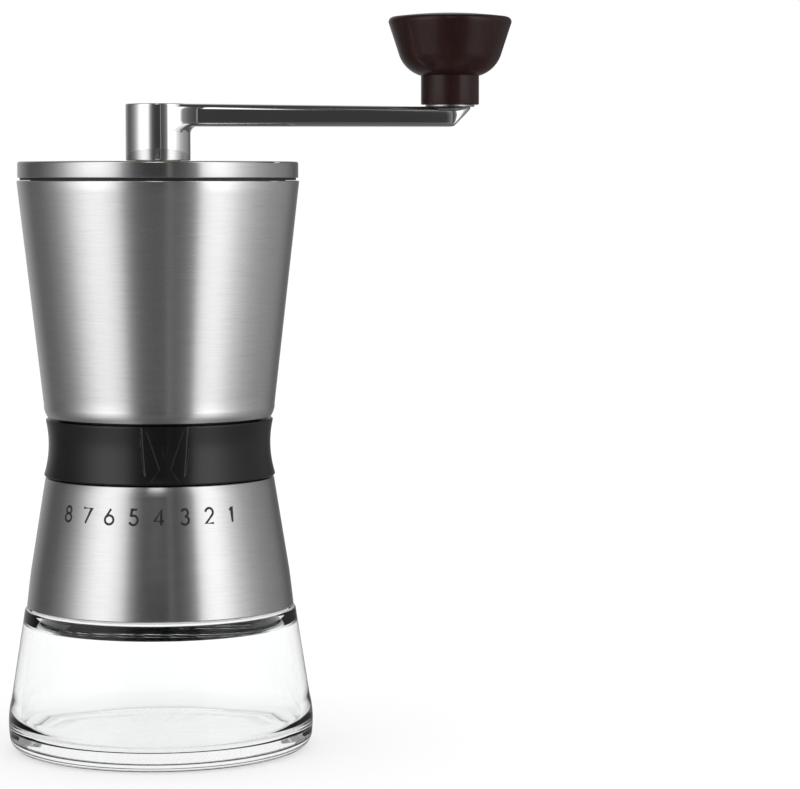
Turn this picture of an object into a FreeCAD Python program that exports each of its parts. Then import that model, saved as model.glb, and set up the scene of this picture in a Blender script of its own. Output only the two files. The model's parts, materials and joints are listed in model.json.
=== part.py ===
"""Hand crank coffee grinder: steel hopper and skirt, a black grind ring between them, a glass jar below.

Millimetres. The origin is the centre of the jar's resting face, +Z is up along the drive shaft,
-Y is the front, where the scale is read, and the crank points along +X.
"""
import FreeCAD, Part
import math
import os

V = FreeCAD.Vector
ORIGIN = V(0, 0, 0)
UP = V(0, 0, 1)

# ---- fits and clearances --------------------------------------------------------------------
RUNNING = 0.05          # radial clearance of a shaft in its bearing
SLIDING = 0.25          # radial clearance of a piece that slides or turns on a wide face
FACE_GAP = 0.15         # axial gap between faces that turn on each other
SEATED = 0.02           # radial clearance of a piece that is pressed or screwed into another
ASSEMBLY = 0.1          # gap between shells that are nested and do not move

# ---- glass jar ------------------------------------------------------------------------------
JAR_HEEL_R = 4.2        # radius of the heel's rounding
JAR_BELLY_R = 41.1      # widest radius
JAR_BELLY_Z = 7.4
JAR_WALL_R = 40.25      # start of the straight wall
JAR_WALL_Z = 13.9
JAR_SHOULDER_R = 36.55  # top of the straight wall
JAR_SHOULDER_Z = 38.4
JAR_SHOULDER_ROUND = 0.9
JAR_FLOOR = 4.6         # thickness of the bottom
JAR_WALL = 2.8          # thickness of the wall
JAR_INNER_TOP_Z = 33.7  # where the inside starts to narrow towards the neck
JAR_BELLY_OVER = 0.2    # the belly stands this far out of the heel
JAR_CORNER_RISE = 5.7   # height of the inside corner's rounding
JAR_CORNER_REACH = 4.8  # its width
JAR_CORNER_MID_IN = 1.35
JAR_CORNER_MID_UP = 1.6
JAR_THROAT_RISE = 1.0   # the bore narrows to the neck's size this far above the shoulder
JAR_THROAT_MID_OUT = 0.9
JAR_THROAT_MID_UP = 2.3
NECK_R = 31.1
NECK_WALL = 3.0
NECK_HEIGHT = 11.3      # above the shoulder
NECK_RIM_ROUND = 1.2

# ---- jar thread -----------------------------------------------------------------------------
THREAD_PITCH = 4.0
THREAD_TURNS = 1.25
THREAD_DEPTH = 1.0
THREAD_ROOT_W = 1.9
THREAD_CREST_W = 1.1
THREAD_CLEAR = 0.4      # radial clearance between one part's crest and the other's wall
THREAD_START = 3.8      # first turn's height above the shoulder
THREAD_EMBED = 0.3      # how deep a ridge is rooted in its wall

# ---- gasket ---------------------------------------------------------------------------------
GASKET_T = 1.5
GASKET_INSET = 0.5      # how far the gasket reaches inside the neck's bore

# ---- skirt ----------------------------------------------------------------------------------
SKIRT_GAP = 0.4         # gap between the jar's shoulder and the skirt
SKIRT_BOTTOM_R = 35.95
SKIRT_KNEE_R = 34.85    # the flared hem ends here and the straight cone begins
SKIRT_KNEE_RISE = 9.2
SKIRT_TOP_R = 30.7
SKIRT_HEIGHT = 34.8
SHELL_T = 0.8           # steel sheet of skirt and hopper
SHELL_EDGE = 0.32       # rounding of the sheet's bends
SKIRT_HEM_REACH = 0.58  # the hem's arc passes this share of its reach at this share of its rise
SKIRT_HEM_RISE = 0.45

# ---- grind ring -----------------------------------------------------------------------------
RING_GAP = 0.4          # gap below and above the ring
RING_HEIGHT = 15.3
RING_BOTTOM_R = 31.05
RING_WAIST_R = 29.87
RING_WAIST_RISE = 10.6
RING_TOP_R = 30.5
RING_EDGE = 0.4
POINTER_TURN = 2.4      # degrees right of the front, as set at rest
POINTER_TOP_W = 11.6
POINTER_BOTTOM_W = 9.6
POINTER_PROUD = 0.7     # how far the pointer's boss stands out of the ring's waist
POINTER_EDGE = 0.45     # how deep the two folds of the pointer are cut
V_TOP_W = 9.4
V_WAIST_W = 2.85
V_BOTTOM_W = 7.6
V_TOP_DROP = 1.25       # below the ring's top
V_WAIST_RISE = 3.95     # above the ring's bottom
V_LINE_W = 0.7
SCALE_STEP = 12.0       # degrees between neighbouring numbers of the scale
STEPS_COARSER = 4       # clicks from rest to the coarsest setting
STEPS_FINER = 3

# ---- grind adjustment -----------------------------------------------------------------------
CORE_R = 26.6           # outside of the core tube that the ring turns on
CORE_WALL = 3.9
CORE_DROP = 7.4         # how deep the core tube reaches into the skirt
CARRIER_WALL = 2.45
ADJUST_LEAD = 5.4       # rise of the helical grooves per turn
PIN_R = 1.5
PIN_CLEAR = 0.1         # pin in its groove and its slot
PIN_REACH = 1.55        # how far a pin stands into the ring
PIN_TIP_CLEAR = 0.2
PIN_RISE = 8.2          # pins above the ring's bottom
PINS = 3
GROOVE_RUNOUT = 5.0     # degrees of groove beyond the last click
DETENT_OUT = 1.5        # detent ball outside the core tube's face
DETENT_BALL_R = 0.9
DETENT_DIP = 0.45       # how far the ball reaches below the ring's top
DETENT_TRACK_W = 2.5
DETENT_NOTCH_R = 0.9
DETENT_NOTCH = 0.4      # depth of a notch below the track
DETENT_SPRING_L = 4.0
DETENT_WIRE_R = 0.15
DETENT_SPRING_TURNS = 6

# ---- hopper ---------------------------------------------------------------------------------
HOPPER_BOTTOM_R = 30.2
HOPPER_HEM = 3.4        # height of the rounded hem
HOPPER_HEM_R = 31.0
HOPPER_HEM_REACH = 0.66  # the hem's arc passes this share of its reach at this share of its rise
HOPPER_HEM_RISE = 0.42
HOPPER_HEIGHT = 63.2
HOPPER_TOP_R = 37.78
LINER_T = 1.2
FUNNEL_THROAT_R = 15.5
FUNNEL_RISE = 18.5
LINER_DROP = 1.2        # liner's rim below the shell's rim
BASE_SPIGOT = 5.5       # height of the hopper base round the core tube
BASE_PLATE_T = 2.5

# ---- burrs ----------------------------------------------------------------------------------
OUTER_BURR_WALL = 2.73  # thinnest wall of the outer burr, beside the grinding gap
BURR_HEIGHT = 20.0
BURR_LAND = 1.3         # short cylinder at the inner burr's bottom
BURR_SLOPE = 0.58       # radius lost per millimetre of height
BURR_TOP_FLAT = 2.2     # cylinder at the inner burr's top
BURR_GAP = 0.65         # radial gap of the grinding zone at rest
GRIND_ZONE = 4.0        # height of the parallel grinding zone
BURR_MOUTH_GAP = 5.2    # radial gap at the outer burr's top
OUTER_BURR_HEIGHT = 14.5
OUTER_BURR_RISE = 0.8   # outer burr's bottom above the inner burr's
BURR_TEETH = 24
TOOTH_DEPTH = 0.8
TOOTH_SKEW = 14.0       # degrees
FEED_FLUTES = 4
FLUTE_DEPTH = 2.4
CARRIER_LIP = 1.0
CARRIER_LIP_SHORT = 0.9  # the lip stops this far short of the outer burr's bore
CARRIER_HEAD = 2.0      # carrier above the outer burr
CIRCLIP_T = 0.8
CIRCLIP_W = 1.6
CIRCLIP_MOUTH = 5.0
SPRING_WIRE_R = 0.45
SPRING_TURNS = 3

# ---- shaft and bearings ---------------------------------------------------------------------
SHAFT_R = 4.05
HEX_AF = 7.0            # hexagon across flats
HEX_CLEAR = 0.1
JOURNAL_R = 2.5
SHAFT_PROUD = 1.9       # shaft's top above the lid
SHAFT_FOOT = 1.5        # journal below the lower bush
SHAFT_TIP = 0.4         # chamfer of the shaft's hexagon
HEX_TOP_L = 20.0
BUSH_WALL = 1.5
LOWER_BUSH_L = 7.0
UPPER_BUSH_L = 10.0
UPPER_BUSH_DROP = 4.0   # bush below the bridge's arms
BUSH_FLANGE_T = 1.0
BUSH_FLANGE_W = 1.6
WASHER_T = 0.8
NUT_T = 3.2
NUT_AF = 9.0
NUT_THREAD_R = 3.0
COLLAR_FLANGE_T = 2.5
COLLAR_WALL = 1.6
COLLAR_INSET = 0.3      # collar's lower edge inside the skirt's
COLLAR_LEDGE_T = 2.0
BEARING_SEAT = 2.4      # lip of the core tube over the lower bridge
LOWER_BRIDGE_T = 4.1
LOWER_RIM_IN = 0.8      # rim of the lower bridge inside the outlet's edge
ARM_W = 3.2
HUB_WALL = 2.0
BRIDGE_ARM_W = 6.0
BRIDGE_ARM_T = 4.0
BOSS_R = 2.8
BOSS_PLACE_R = 26.0
ARMS = 3

# ---- screws ---------------------------------------------------------------------------------
SCREW_R = 1.1
SCREW_HEAD_R = 2.1
SCREW_HEAD_T = 1.6
SCREW_L = 8.0
SCREW_RECESS_R = 0.9
SCREW_RECESS = 0.8
CORE_SCREW_INSET = 1.9  # screws of the core tube inside its outer face

# ---- lid ------------------------------------------------------------------------------------
LID_GAP = 0.1           # lid's plug above the hopper's rim
LID_LINE = 0.6          # dark line of the plug's flange under the steel
LID_R = 37.52
LID_T = 4.35
LID_SHEET = 0.9
LID_ROUND = 0.6
PLUG_FLANGE_R = 36.9
PLUG_R = 34.1
PLUG_DEPTH = 6.0
PLUG_WALL = 1.6
SEAL_W = 1.7
SEAL_GROOVE = 0.8
SEAL_PROUD = 0.5
SEAL_EDGE = 0.4
SEAL_RISE = 1.6         # seal above the plug's lower edge
LID_BUSH_WALL = 2.2
LID_BOSS_WALL = 2.5
LID_BUSH_PROUD = 0.1

# ---- crank ----------------------------------------------------------------------------------
HUB_R = 8.65
HUB_HEIGHT = 15.15
CRANK_RADIUS = 78.5     # drive shaft to knob
ARM_T_HUB = 5.95
ARM_T_TIP = 5.3
ARM_TOP_FALL = 0.6      # arm's top is lower at its tip
ARM_HALF_HUB = 6.1
ARM_HALF_TIP = 5.5
ARM_BEVEL = 0.7
ARM_TIP_CHAMFER = 4.9
ARM_TIP_EDGE = 0.5      # upright edge left over the tip's chamfer
ARM_ROOT_ROUND = 2.0    # hollow under the arm, against the hub
ARM_FLARE_R = 20.0      # hollow in plan, where the arm's sides run into the hub
HUB_EDGE = 0.4
SOCKET_R = 6.5
SOCKET_STEM_R = 6.0
SOCKET_STEM_L = 11.5
SOCKET_BELOW = 11.0     # socket below the crank's hub
HEX_ROOM = 1.2          # free space over the shaft's top
CLIP_T = 0.9
CLIP_W = 2.2
CLIP_GROOVE = 0.6
CLIP_GAP = 0.3          # shaft's clip below its bush
CLIP_END = 0.9          # groove above the socket's lower end

# ---- knob -----------------------------------------------------------------------------------
KNOB_NECK_R = 7.82
KNOB_NECK_H = 7.75
KNOB_RIM_R = 16.9
KNOB_HEIGHT = 24.5
KNOB_CROWN = 1.23       # rise of the domed top over its rim
KNOB_EDGE = 1.7
KNOB_CUP_R = 13.9       # end of the knob's straight flank
KNOB_CUP_RISE = 13.9
KNOB_CHEEK_R = 12.2     # middle of the rounding between the flank and the neck
KNOB_CHEEK_RISE = 10.6
KNOB_WASHER_T = 0.4
KNOB_WASHER_R = 6.6
KNOB_PIN_R = 3.0
KNOB_PIN_HEAD_R = 5.0
KNOB_PIN_HEAD_T = 2.4
KNOB_PIN_RECESS = 1.6   # depth of the hexagon in the pin's head
KNOB_PIN_DEPTH = 2.7    # how deep the pin is pressed into the arm
KNOB_PIN_ROOM = 0.15    # free space under the pin
KNOB_BUSH_WALL = 1.4
KNOB_BUSH_L = 15.0
KNOB_PLUG_R = 6.5
KNOB_PLUG_T = 2.6

# ---- heights worked out from the sizes above --------------------------------------------------
neck_top_z = JAR_SHOULDER_Z + NECK_HEIGHT
gasket_z = neck_top_z + FACE_GAP
ledge_z = gasket_z + GASKET_T + FACE_GAP
skirt_z = JAR_SHOULDER_Z + SKIRT_GAP
skirt_top_z = skirt_z + SKIRT_HEIGHT
ring_z = skirt_top_z + RING_GAP
ring_top_z = ring_z + RING_HEIGHT
hopper_z = ring_top_z + RING_GAP + FACE_GAP
hopper_top_z = hopper_z + HOPPER_HEIGHT
lid_z = hopper_top_z + LID_GAP + LID_LINE
lid_top_z = lid_z + LID_T
hub_z = lid_top_z + LID_BUSH_PROUD + FACE_GAP
hub_top_z = hub_z + HUB_HEIGHT
arm_tip_top_z = hub_top_z - ARM_TOP_FALL
shaft_top_z = lid_top_z + SHAFT_PROUD
knob_z = arm_tip_top_z + KNOB_WASHER_T + FACE_GAP
pin_z = ring_z + PIN_RISE
core_z = skirt_top_z - CORE_DROP
core_top_z = hopper_z + SHELL_T + BASE_SPIGOT
bush_z = core_z + LOWER_BRIDGE_T - LOWER_BUSH_L
washer_z = bush_z + LOWER_BUSH_L + BUSH_FLANGE_T + FACE_GAP
nut_z = washer_z + WASHER_T + SEATED
burr_z = nut_z + NUT_T + SEATED
outer_burr_z = burr_z + OUTER_BURR_RISE
carrier_z = outer_burr_z - CARRIER_LIP
carrier_top_z = outer_burr_z + OUTER_BURR_HEIGHT + CARRIER_HEAD
funnel_z = core_top_z + BASE_PLATE_T
funnel_top_z = funnel_z + FUNNEL_RISE
bridge_z = funnel_top_z
upper_bush_z = bridge_z - UPPER_BUSH_DROP
liner_top_z = hopper_top_z - LINER_DROP

# ---- radii worked out from the sizes above ----------------------------------------------------
collar_bore_r = NECK_R + THREAD_DEPTH + THREAD_CLEAR
core_bore_r = CORE_R - CORE_WALL
carrier_r = core_bore_r - SLIDING
carrier_bore_r = carrier_r - CARRIER_WALL
outer_burr_r = carrier_bore_r - SEATED
burr_r = outer_burr_r - OUTER_BURR_WALL - BURR_GAP
core_screw_r = CORE_R - CORE_SCREW_INSET
detent_r = CORE_R + DETENT_OUT
ring_bore_r = CORE_R + SLIDING
pin_tip_r = ring_bore_r + PIN_REACH
groove_r = pin_tip_r + PIN_TIP_CLEAR
bridge_seat_r = core_bore_r - 1.7
outlet_r = bridge_seat_r - 2.0
ring_turn_coarse = SCALE_STEP * STEPS_COARSER
ring_turn_fine = SCALE_STEP * STEPS_FINER
rise_coarse = ADJUST_LEAD * ring_turn_coarse / 360
drop_fine = ADJUST_LEAD * ring_turn_fine / 360


# ---- helpers --------------------------------------------------------------------------------
def at(r, z):
    """A point of a turned outline."""
    return V(r, 0, z)


def line(a, b):
    return Part.LineSegment(at(*a), at(*b)).toShape()


def arc(a, middle, b):
    return Part.Arc(at(*a), at(*middle), at(*b)).toShape()


def turned(edges):
    """Solid of revolution about Z from a closed outline of edges in the XZ plane."""
    face = Part.Face(Part.Wire(Part.__sortEdges__(edges)))
    return face.revolve(ORIGIN, UP, 360)


def turned_polygon(*points):
    """Solid of revolution about Z from (radius, height) corners."""
    corners = [at(*point) for point in points]
    return Part.Face(Part.makePolygon(corners + corners[:1])).revolve(ORIGIN, UP, 360)


def tube(outer, inner, z, height):
    return turned_polygon((inner, z), (outer, z), (outer, z + height), (inner, z + height))


def rod(radius, z, height, x=0.0, y=0.0):
    return Part.makeCylinder(radius, height, V(x, y, z), UP)


def around(shape, angle):
    """A copy of the shape turned about Z."""
    copy = shape.copy()
    copy.rotate(ORIGIN, UP, angle)
    return copy


def pattern(shape, count, start=0.0):
    return [around(shape, start + 360 / count * index) for index in range(count)]


def hexagon(across_flats, z, height):
    radius = across_flats / math.sqrt(3)
    corners = [V(radius * math.cos(math.radians(60 * k)), radius * math.sin(math.radians(60 * k)), z)
               for k in range(7)]
    return Part.Face(Part.makePolygon(corners)).extrude(V(0, 0, height))


def rounded(shape, size, *places):
    """Fillets the circular edges that lie at the given (radius, height) places."""
    edges = [edge for edge in shape.Edges for radius, z in places
             if not edge.Degenerated and isinstance(edge.Curve, Part.Circle)
             and abs(edge.Curve.Radius - radius) < 1e-4 and abs(edge.Curve.Center.z - z) < 1e-4]
    return shape.makeFillet(size, edges)


def helical_ridge(root_r, crest_r, root_w, crest_w, lead, turns, z, start):
    """A right-handed helical ridge, rooted at root_r, that starts at height z and angle start."""
    path = Part.Wire(Part.makeHelix(lead, lead * turns, root_r).Edges)
    corners = [at(root_r, -root_w / 2), at(crest_r, -crest_w / 2), at(crest_r, crest_w / 2),
               at(root_r, root_w / 2)]
    ridge = path.makePipeShell([Part.makePolygon(corners + corners[:1])], True, True)
    ridge.translate(V(0, 0, z))
    return around(ridge, start)


def coil(radius, wire_r, z, height, turns):
    """A round-wire coil spring between two heights."""
    rise = height - 2 * wire_r
    path = Part.Wire(Part.makeHelix(rise / turns, rise, radius).Edges)
    section = Part.Wire(Part.makeCircle(wire_r, V(radius, 0, 0), V(0, 1, 0)))
    spring = path.makePipeShell([section], True, True)
    spring.translate(V(0, 0, z + wire_r))
    return spring


def prism_y(corners, half_width):
    """A prism from corners in the XZ plane, as wide as twice half_width along Y."""
    points = [V(x, -half_width, z) for x, z in corners]
    return Part.Face(Part.makePolygon(points + points[:1])).extrude(V(0, 2 * half_width, 0))


def skirt_radius(z):
    """Outer radius of the skirt's straight cone at a height."""
    knee_z = skirt_z + SKIRT_KNEE_RISE
    share = (z - knee_z) / (skirt_top_z - knee_z)
    return SKIRT_KNEE_R + (SKIRT_TOP_R - SKIRT_KNEE_R) * share


def hopper_radius(z):
    """Outer radius of the hopper's straight cone at a height."""
    share = (z - hopper_z - HOPPER_HEM) / (HOPPER_HEIGHT - HOPPER_HEM)
    return HOPPER_HEM_R + (HOPPER_TOP_R - HOPPER_HEM_R) * share


def liner_radius(z):
    """Outer radius of the hopper's liner, inside the steel."""
    return hopper_radius(z) - SHELL_T - ASSEMBLY


def inner_burr_radius(z):
    return burr_r - BURR_SLOPE * (z - burr_z - BURR_LAND)


# ---- jar ------------------------------------------------------------------------------------
def glass_jar():
    heel_x = JAR_BELLY_R - JAR_BELLY_OVER - JAR_HEEL_R
    heel_mid = (heel_x + JAR_HEEL_R * math.sin(math.pi / 4), JAR_HEEL_R * (1 - math.cos(math.pi / 4)))
    heel_top = (heel_x + JAR_HEEL_R, JAR_HEEL_R)
    belly = (JAR_BELLY_R, JAR_BELLY_Z)
    wall_start = (JAR_WALL_R, JAR_WALL_Z)
    shoulder = (JAR_SHOULDER_R, JAR_SHOULDER_Z)
    slope = (JAR_WALL_R - JAR_SHOULDER_R) / (JAR_SHOULDER_Z - JAR_WALL_Z)
    bore_r = NECK_R - NECK_WALL
    inner_top = (JAR_SHOULDER_R + slope * (JAR_SHOULDER_Z - JAR_INNER_TOP_Z) - JAR_WALL, JAR_INNER_TOP_Z)
    inner_low_z = JAR_FLOOR + JAR_CORNER_RISE
    inner_low = (JAR_SHOULDER_R + slope * (JAR_SHOULDER_Z - inner_low_z) - JAR_WALL, inner_low_z)
    inner_foot = (inner_low[0] - JAR_CORNER_REACH, JAR_FLOOR)
    corner_mid = (inner_low[0] - JAR_CORNER_MID_IN, JAR_FLOOR + JAR_CORNER_MID_UP)
    throat = (bore_r, JAR_SHOULDER_Z + JAR_THROAT_RISE)
    throat_mid = ((inner_top[0] + bore_r) / 2 + JAR_THROAT_MID_OUT, JAR_INNER_TOP_Z + JAR_THROAT_MID_UP)
    outline = [
        line((0, 0), (heel_x, 0)),
        arc((heel_x, 0), heel_mid, heel_top),
        arc(heel_top, belly, wall_start),
        line(wall_start, shoulder),
        line(shoulder, (NECK_R, JAR_SHOULDER_Z)),
        line((NECK_R, JAR_SHOULDER_Z), (NECK_R, neck_top_z)),
        line((NECK_R, neck_top_z), (bore_r, neck_top_z)),
        line((bore_r, neck_top_z), throat),
        arc(throat, throat_mid, inner_top),
        line(inner_top, inner_low),
        arc(inner_low, corner_mid, inner_foot),
        line(inner_foot, (0, JAR_FLOOR)),
        line((0, JAR_FLOOR), (0, 0)),
    ]
    jar = turned(outline)
    jar = rounded(jar, JAR_SHOULDER_ROUND, shoulder)
    jar = rounded(jar, NECK_RIM_ROUND, (NECK_R, neck_top_z), (bore_r, neck_top_z))
    ridge = helical_ridge(NECK_R - THREAD_EMBED, NECK_R + THREAD_DEPTH, THREAD_ROOT_W, THREAD_CREST_W,
                          THREAD_PITCH, THREAD_TURNS, JAR_SHOULDER_Z + THREAD_START, 0)
    return jar.fuse(ridge)


def jar_gasket():
    return tube(NECK_R + THREAD_DEPTH / 2, NECK_R - NECK_WALL - GASKET_INSET, gasket_z, GASKET_T)


# ---- lower housing --------------------------------------------------------------------------
def skirt_shell():
    knee = (SKIRT_KNEE_R, skirt_z + SKIRT_KNEE_RISE)
    hem_mid = (SKIRT_KNEE_R + (SKIRT_BOTTOM_R - SKIRT_KNEE_R) * SKIRT_HEM_REACH,
               skirt_z + SKIRT_KNEE_RISE * SKIRT_HEM_RISE)
    inner_knee = (knee[0] - SHELL_T, knee[1])
    inner_mid = (hem_mid[0] - SHELL_T, hem_mid[1])
    inner_foot = (SKIRT_BOTTOM_R - SHELL_T, skirt_z)
    flange_r = CORE_R + SLIDING
    inner_top_r = skirt_radius(skirt_top_z - SHELL_T) - SHELL_T
    outline = [
        arc((SKIRT_BOTTOM_R, skirt_z), hem_mid, knee),
        line(knee, (SKIRT_TOP_R, skirt_top_z)),
        line((SKIRT_TOP_R, skirt_top_z), (flange_r, skirt_top_z)),
        line((flange_r, skirt_top_z), (flange_r, skirt_top_z - SHELL_T)),
        line((flange_r, skirt_top_z - SHELL_T), (inner_top_r, skirt_top_z - SHELL_T)),
        line((inner_top_r, skirt_top_z - SHELL_T), inner_knee),
        arc(inner_knee, inner_mid, inner_foot),
        line(inner_foot, (SKIRT_BOTTOM_R, skirt_z)),
    ]
    return rounded(turned(outline), SHELL_EDGE, (SKIRT_TOP_R, skirt_top_z), (SKIRT_BOTTOM_R, skirt_z))


def screw(head_z, x, head_up):
    """A pan-head screw on the line X = x, with its head's seat at head_z."""
    toward = 1 if head_up else -1
    axis = V(0, 0, toward)
    place = V(x, 0, head_z)
    shank = Part.makeCylinder(SCREW_R, SCREW_L, place, axis.negative())
    head = Part.makeCylinder(SCREW_HEAD_R, SCREW_HEAD_T, place, axis)
    recess = Part.makeCylinder(SCREW_RECESS_R, SCREW_RECESS,
                               place + axis * (SCREW_HEAD_T - SCREW_RECESS), axis)
    return shank.fuse(head).cut(recess)


def threaded_collar():
    bottom = skirt_z + COLLAR_INSET
    top = skirt_top_z - SHELL_T - ASSEMBLY
    skin = SHELL_T + ASSEMBLY
    wall = skin + COLLAR_WALL
    flange_z = core_z - COLLAR_FLANGE_T
    knee_z = skirt_z + SKIRT_KNEE_RISE
    ledge_top = ledge_z + COLLAR_LEDGE_T
    ledge_r = NECK_R - NECK_WALL - GASKET_INSET
    collar = turned_polygon(
        (collar_bore_r, bottom), (SKIRT_KNEE_R - skin, bottom), (SKIRT_KNEE_R - skin, knee_z),
        (skirt_radius(top) - skin, top), (skirt_radius(top) - wall, top),
        (skirt_radius(core_z) - wall, core_z), (outlet_r, core_z), (outlet_r, flange_z),
        (skirt_radius(flange_z) - wall, flange_z), (skirt_radius(ledge_top) - wall, ledge_top),
        (ledge_r, ledge_top), (ledge_r, ledge_z), (collar_bore_r, ledge_z))
    ridge = helical_ridge(collar_bore_r + THREAD_EMBED, collar_bore_r - THREAD_DEPTH, THREAD_ROOT_W,
                          THREAD_CREST_W, THREAD_PITCH, THREAD_TURNS,
                          JAR_SHOULDER_Z + THREAD_START - THREAD_PITCH / 2, 0)
    hole = rod(SCREW_R + SEATED, flange_z - 1, COLLAR_FLANGE_T + 2, core_screw_r)
    return collar.fuse(ridge).cut(pattern(hole, ARMS, 60))


def core_tube():
    seat_top = core_z + LOWER_BRIDGE_T + FACE_GAP
    lip_top = seat_top + BEARING_SEAT
    core = turned_polygon(
        (bridge_seat_r, core_z), (CORE_R, core_z), (CORE_R, core_top_z), (core_bore_r, core_top_z),
        (core_bore_r, lip_top), (outlet_r, lip_top), (outlet_r, seat_top), (bridge_seat_r, seat_top))
    slot_half = PIN_R + PIN_CLEAR
    slot_low = pin_z - drop_fine - slot_half - PIN_CLEAR
    slot_high = pin_z + rise_coarse + slot_half + PIN_CLEAR
    slot = Part.makeBox(2 * CORE_WALL, 2 * slot_half, slot_high - slot_low,
                        V(core_bore_r - CORE_WALL / 2, -slot_half, slot_low))
    pilot_depth = SCREW_L - COLLAR_FLANGE_T + 1
    low_pilot = rod(SCREW_R + SEATED, core_z, pilot_depth, core_screw_r)
    high_pilot = rod(SCREW_R + SEATED, core_top_z - pilot_depth, pilot_depth, core_screw_r)
    return core.cut(pattern(slot, PINS) + pattern(low_pilot, ARMS, 60) + pattern(high_pilot, ARMS, 60))


def collar_screws():
    return Part.makeCompound(pattern(screw(core_z - COLLAR_FLANGE_T, core_screw_r, False), ARMS, 60))


def base_screws():
    return Part.makeCompound(pattern(screw(core_top_z + BASE_PLATE_T, core_screw_r, True), ARMS, 60))


def lower_bridge():
    bush_r = JOURNAL_R + RUNNING + BUSH_WALL
    hub_r = bush_r + SEATED + HUB_WALL
    rim_r = bridge_seat_r - ASSEMBLY
    rim = tube(rim_r, outlet_r - LOWER_RIM_IN, core_z, LOWER_BRIDGE_T)
    hub = rod(hub_r, bush_z, LOWER_BUSH_L)
    arm = Part.makeBox(outlet_r, ARM_W, LOWER_BRIDGE_T, V(0, -ARM_W / 2, core_z))
    bore = rod(bush_r + SEATED, bush_z - 1, LOWER_BUSH_L + 2)
    return rim.fuse([hub] + pattern(arm, ARMS)).cut(bore).removeSplitter()


def flanged_bush(bore_r, z, length):
    body = tube(bore_r + BUSH_WALL, bore_r, z, length)
    flange = tube(bore_r + BUSH_WALL + BUSH_FLANGE_W, bore_r, z + length, BUSH_FLANGE_T)
    return body.fuse(flange).removeSplitter()


def lower_bush():
    return flanged_bush(JOURNAL_R + RUNNING, bush_z, LOWER_BUSH_L)


# ---- grind ring -----------------------------------------------------------------------------
def ring_radius(z):
    """Outer radius of the ring's hollow side at a height, a circle through its three radii."""
    low, waist, high = (at(RING_BOTTOM_R, ring_z), at(RING_WAIST_R, ring_z + RING_WAIST_RISE),
                        at(RING_TOP_R, ring_top_z))
    circle = Part.Arc(low, waist, high)
    return circle.Center.x - math.sqrt(circle.Radius ** 2 - (z - circle.Center.z) ** 2)


def pointer_fold(side):
    """Cutter for one edge of the pointer's hourglass: a thin wedge that leans in, then out."""
    low_z, high_z = ring_z, ring_top_z - V_TOP_DROP
    waist_z = ring_z + V_WAIST_RISE
    depth_r = RING_WAIST_R + POINTER_PROUD - POINTER_EDGE
    path = [(V_BOTTOM_W / 2, low_z - 1), (V_WAIST_W / 2, waist_z), (V_TOP_W / 2, high_z)]
    inner = [V(side * x, -depth_r, z) for x, z in path]
    outer = [V(side * (x + V_LINE_W), -depth_r, z) for x, z in reversed(path)]
    corners = inner + outer
    return Part.Face(Part.makePolygon(corners + corners[:1])).extrude(V(0, -SHELL_T * 5, 0))


def adjuster_ring():
    outline = [
        arc((RING_BOTTOM_R, ring_z), (RING_WAIST_R, ring_z + RING_WAIST_RISE), (RING_TOP_R, ring_top_z)),
        line((RING_TOP_R, ring_top_z), (ring_bore_r, ring_top_z)),
        line((ring_bore_r, ring_top_z), (ring_bore_r, ring_z)),
        line((ring_bore_r, ring_z), (RING_BOTTOM_R, ring_z)),
    ]
    ring = rounded(turned(outline), RING_EDGE, (RING_BOTTOM_R, ring_z), (RING_TOP_R, ring_top_z))
    boss_face = RING_WAIST_R + POINTER_PROUD
    plan = [V(-POINTER_BOTTOM_W / 2, 0, ring_z), V(POINTER_BOTTOM_W / 2, 0, ring_z),
            V(POINTER_TOP_W / 2, 0, ring_top_z), V(-POINTER_TOP_W / 2, 0, ring_top_z)]
    wedge = Part.Face(Part.makePolygon(plan + plan[:1])).extrude(V(0, -2 * boss_face, 0))
    boss = tube(boss_face, ring_bore_r, ring_z + RING_EDGE, RING_HEIGHT - 2 * RING_EDGE).common(wedge)
    folds = [around(pointer_fold(side), POINTER_TURN) for side in (-1, 1)]
    ring = ring.fuse(around(boss, POINTER_TURN)).cut(folds)
    return ring.cut(groove_cutters() + [detent_track()] + detent_notches())


def groove_cutters():
    """Three helical grooves in the ring's bore, and the three upright slots that the pins enter by."""
    span = ring_turn_coarse + ring_turn_fine + 2 * GROOVE_RUNOUT
    start = -(ring_turn_fine + GROOVE_RUNOUT)
    width = 2 * (PIN_R + PIN_CLEAR)
    low_z = pin_z + ADJUST_LEAD * start / 360
    groove = helical_ridge(ring_bore_r - 1, groove_r, width, width, ADJUST_LEAD, span / 360, low_z, start)
    entry_z = pin_z + ADJUST_LEAD * (span + start) / 360 - width / 2
    entry = Part.makeBox(groove_r - ring_bore_r + 1, width, ring_top_z - entry_z + 1,
                         V(ring_bore_r - 1, -width / 2, entry_z))
    return pattern(groove, PINS) + pattern(entry, PINS, start + span)


def detent_track():
    depth = DETENT_DIP + FACE_GAP
    return tube(detent_r + DETENT_TRACK_W / 2, ring_bore_r - 1, ring_top_z - depth, depth + 1)


def detent_notches():
    depth = DETENT_DIP + FACE_GAP + DETENT_NOTCH
    notch = rod(DETENT_NOTCH_R, ring_top_z - depth, depth + 1, 0, detent_r)
    return [around(notch, SCALE_STEP * step) for step in range(-STEPS_FINER, STEPS_COARSER + 1)]


def detent_ball():
    return Part.makeSphere(DETENT_BALL_R, V(0, detent_r, ring_top_z - DETENT_DIP + DETENT_BALL_R))


def detent_spring():
    ball_top = ring_top_z - DETENT_DIP + 2 * DETENT_BALL_R
    mean_r = DETENT_BALL_R - 2 * DETENT_WIRE_R
    spring = coil(mean_r, DETENT_WIRE_R, ball_top, DETENT_SPRING_L, DETENT_SPRING_TURNS)
    spring.translate(V(0, detent_r, 0))
    return spring


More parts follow.
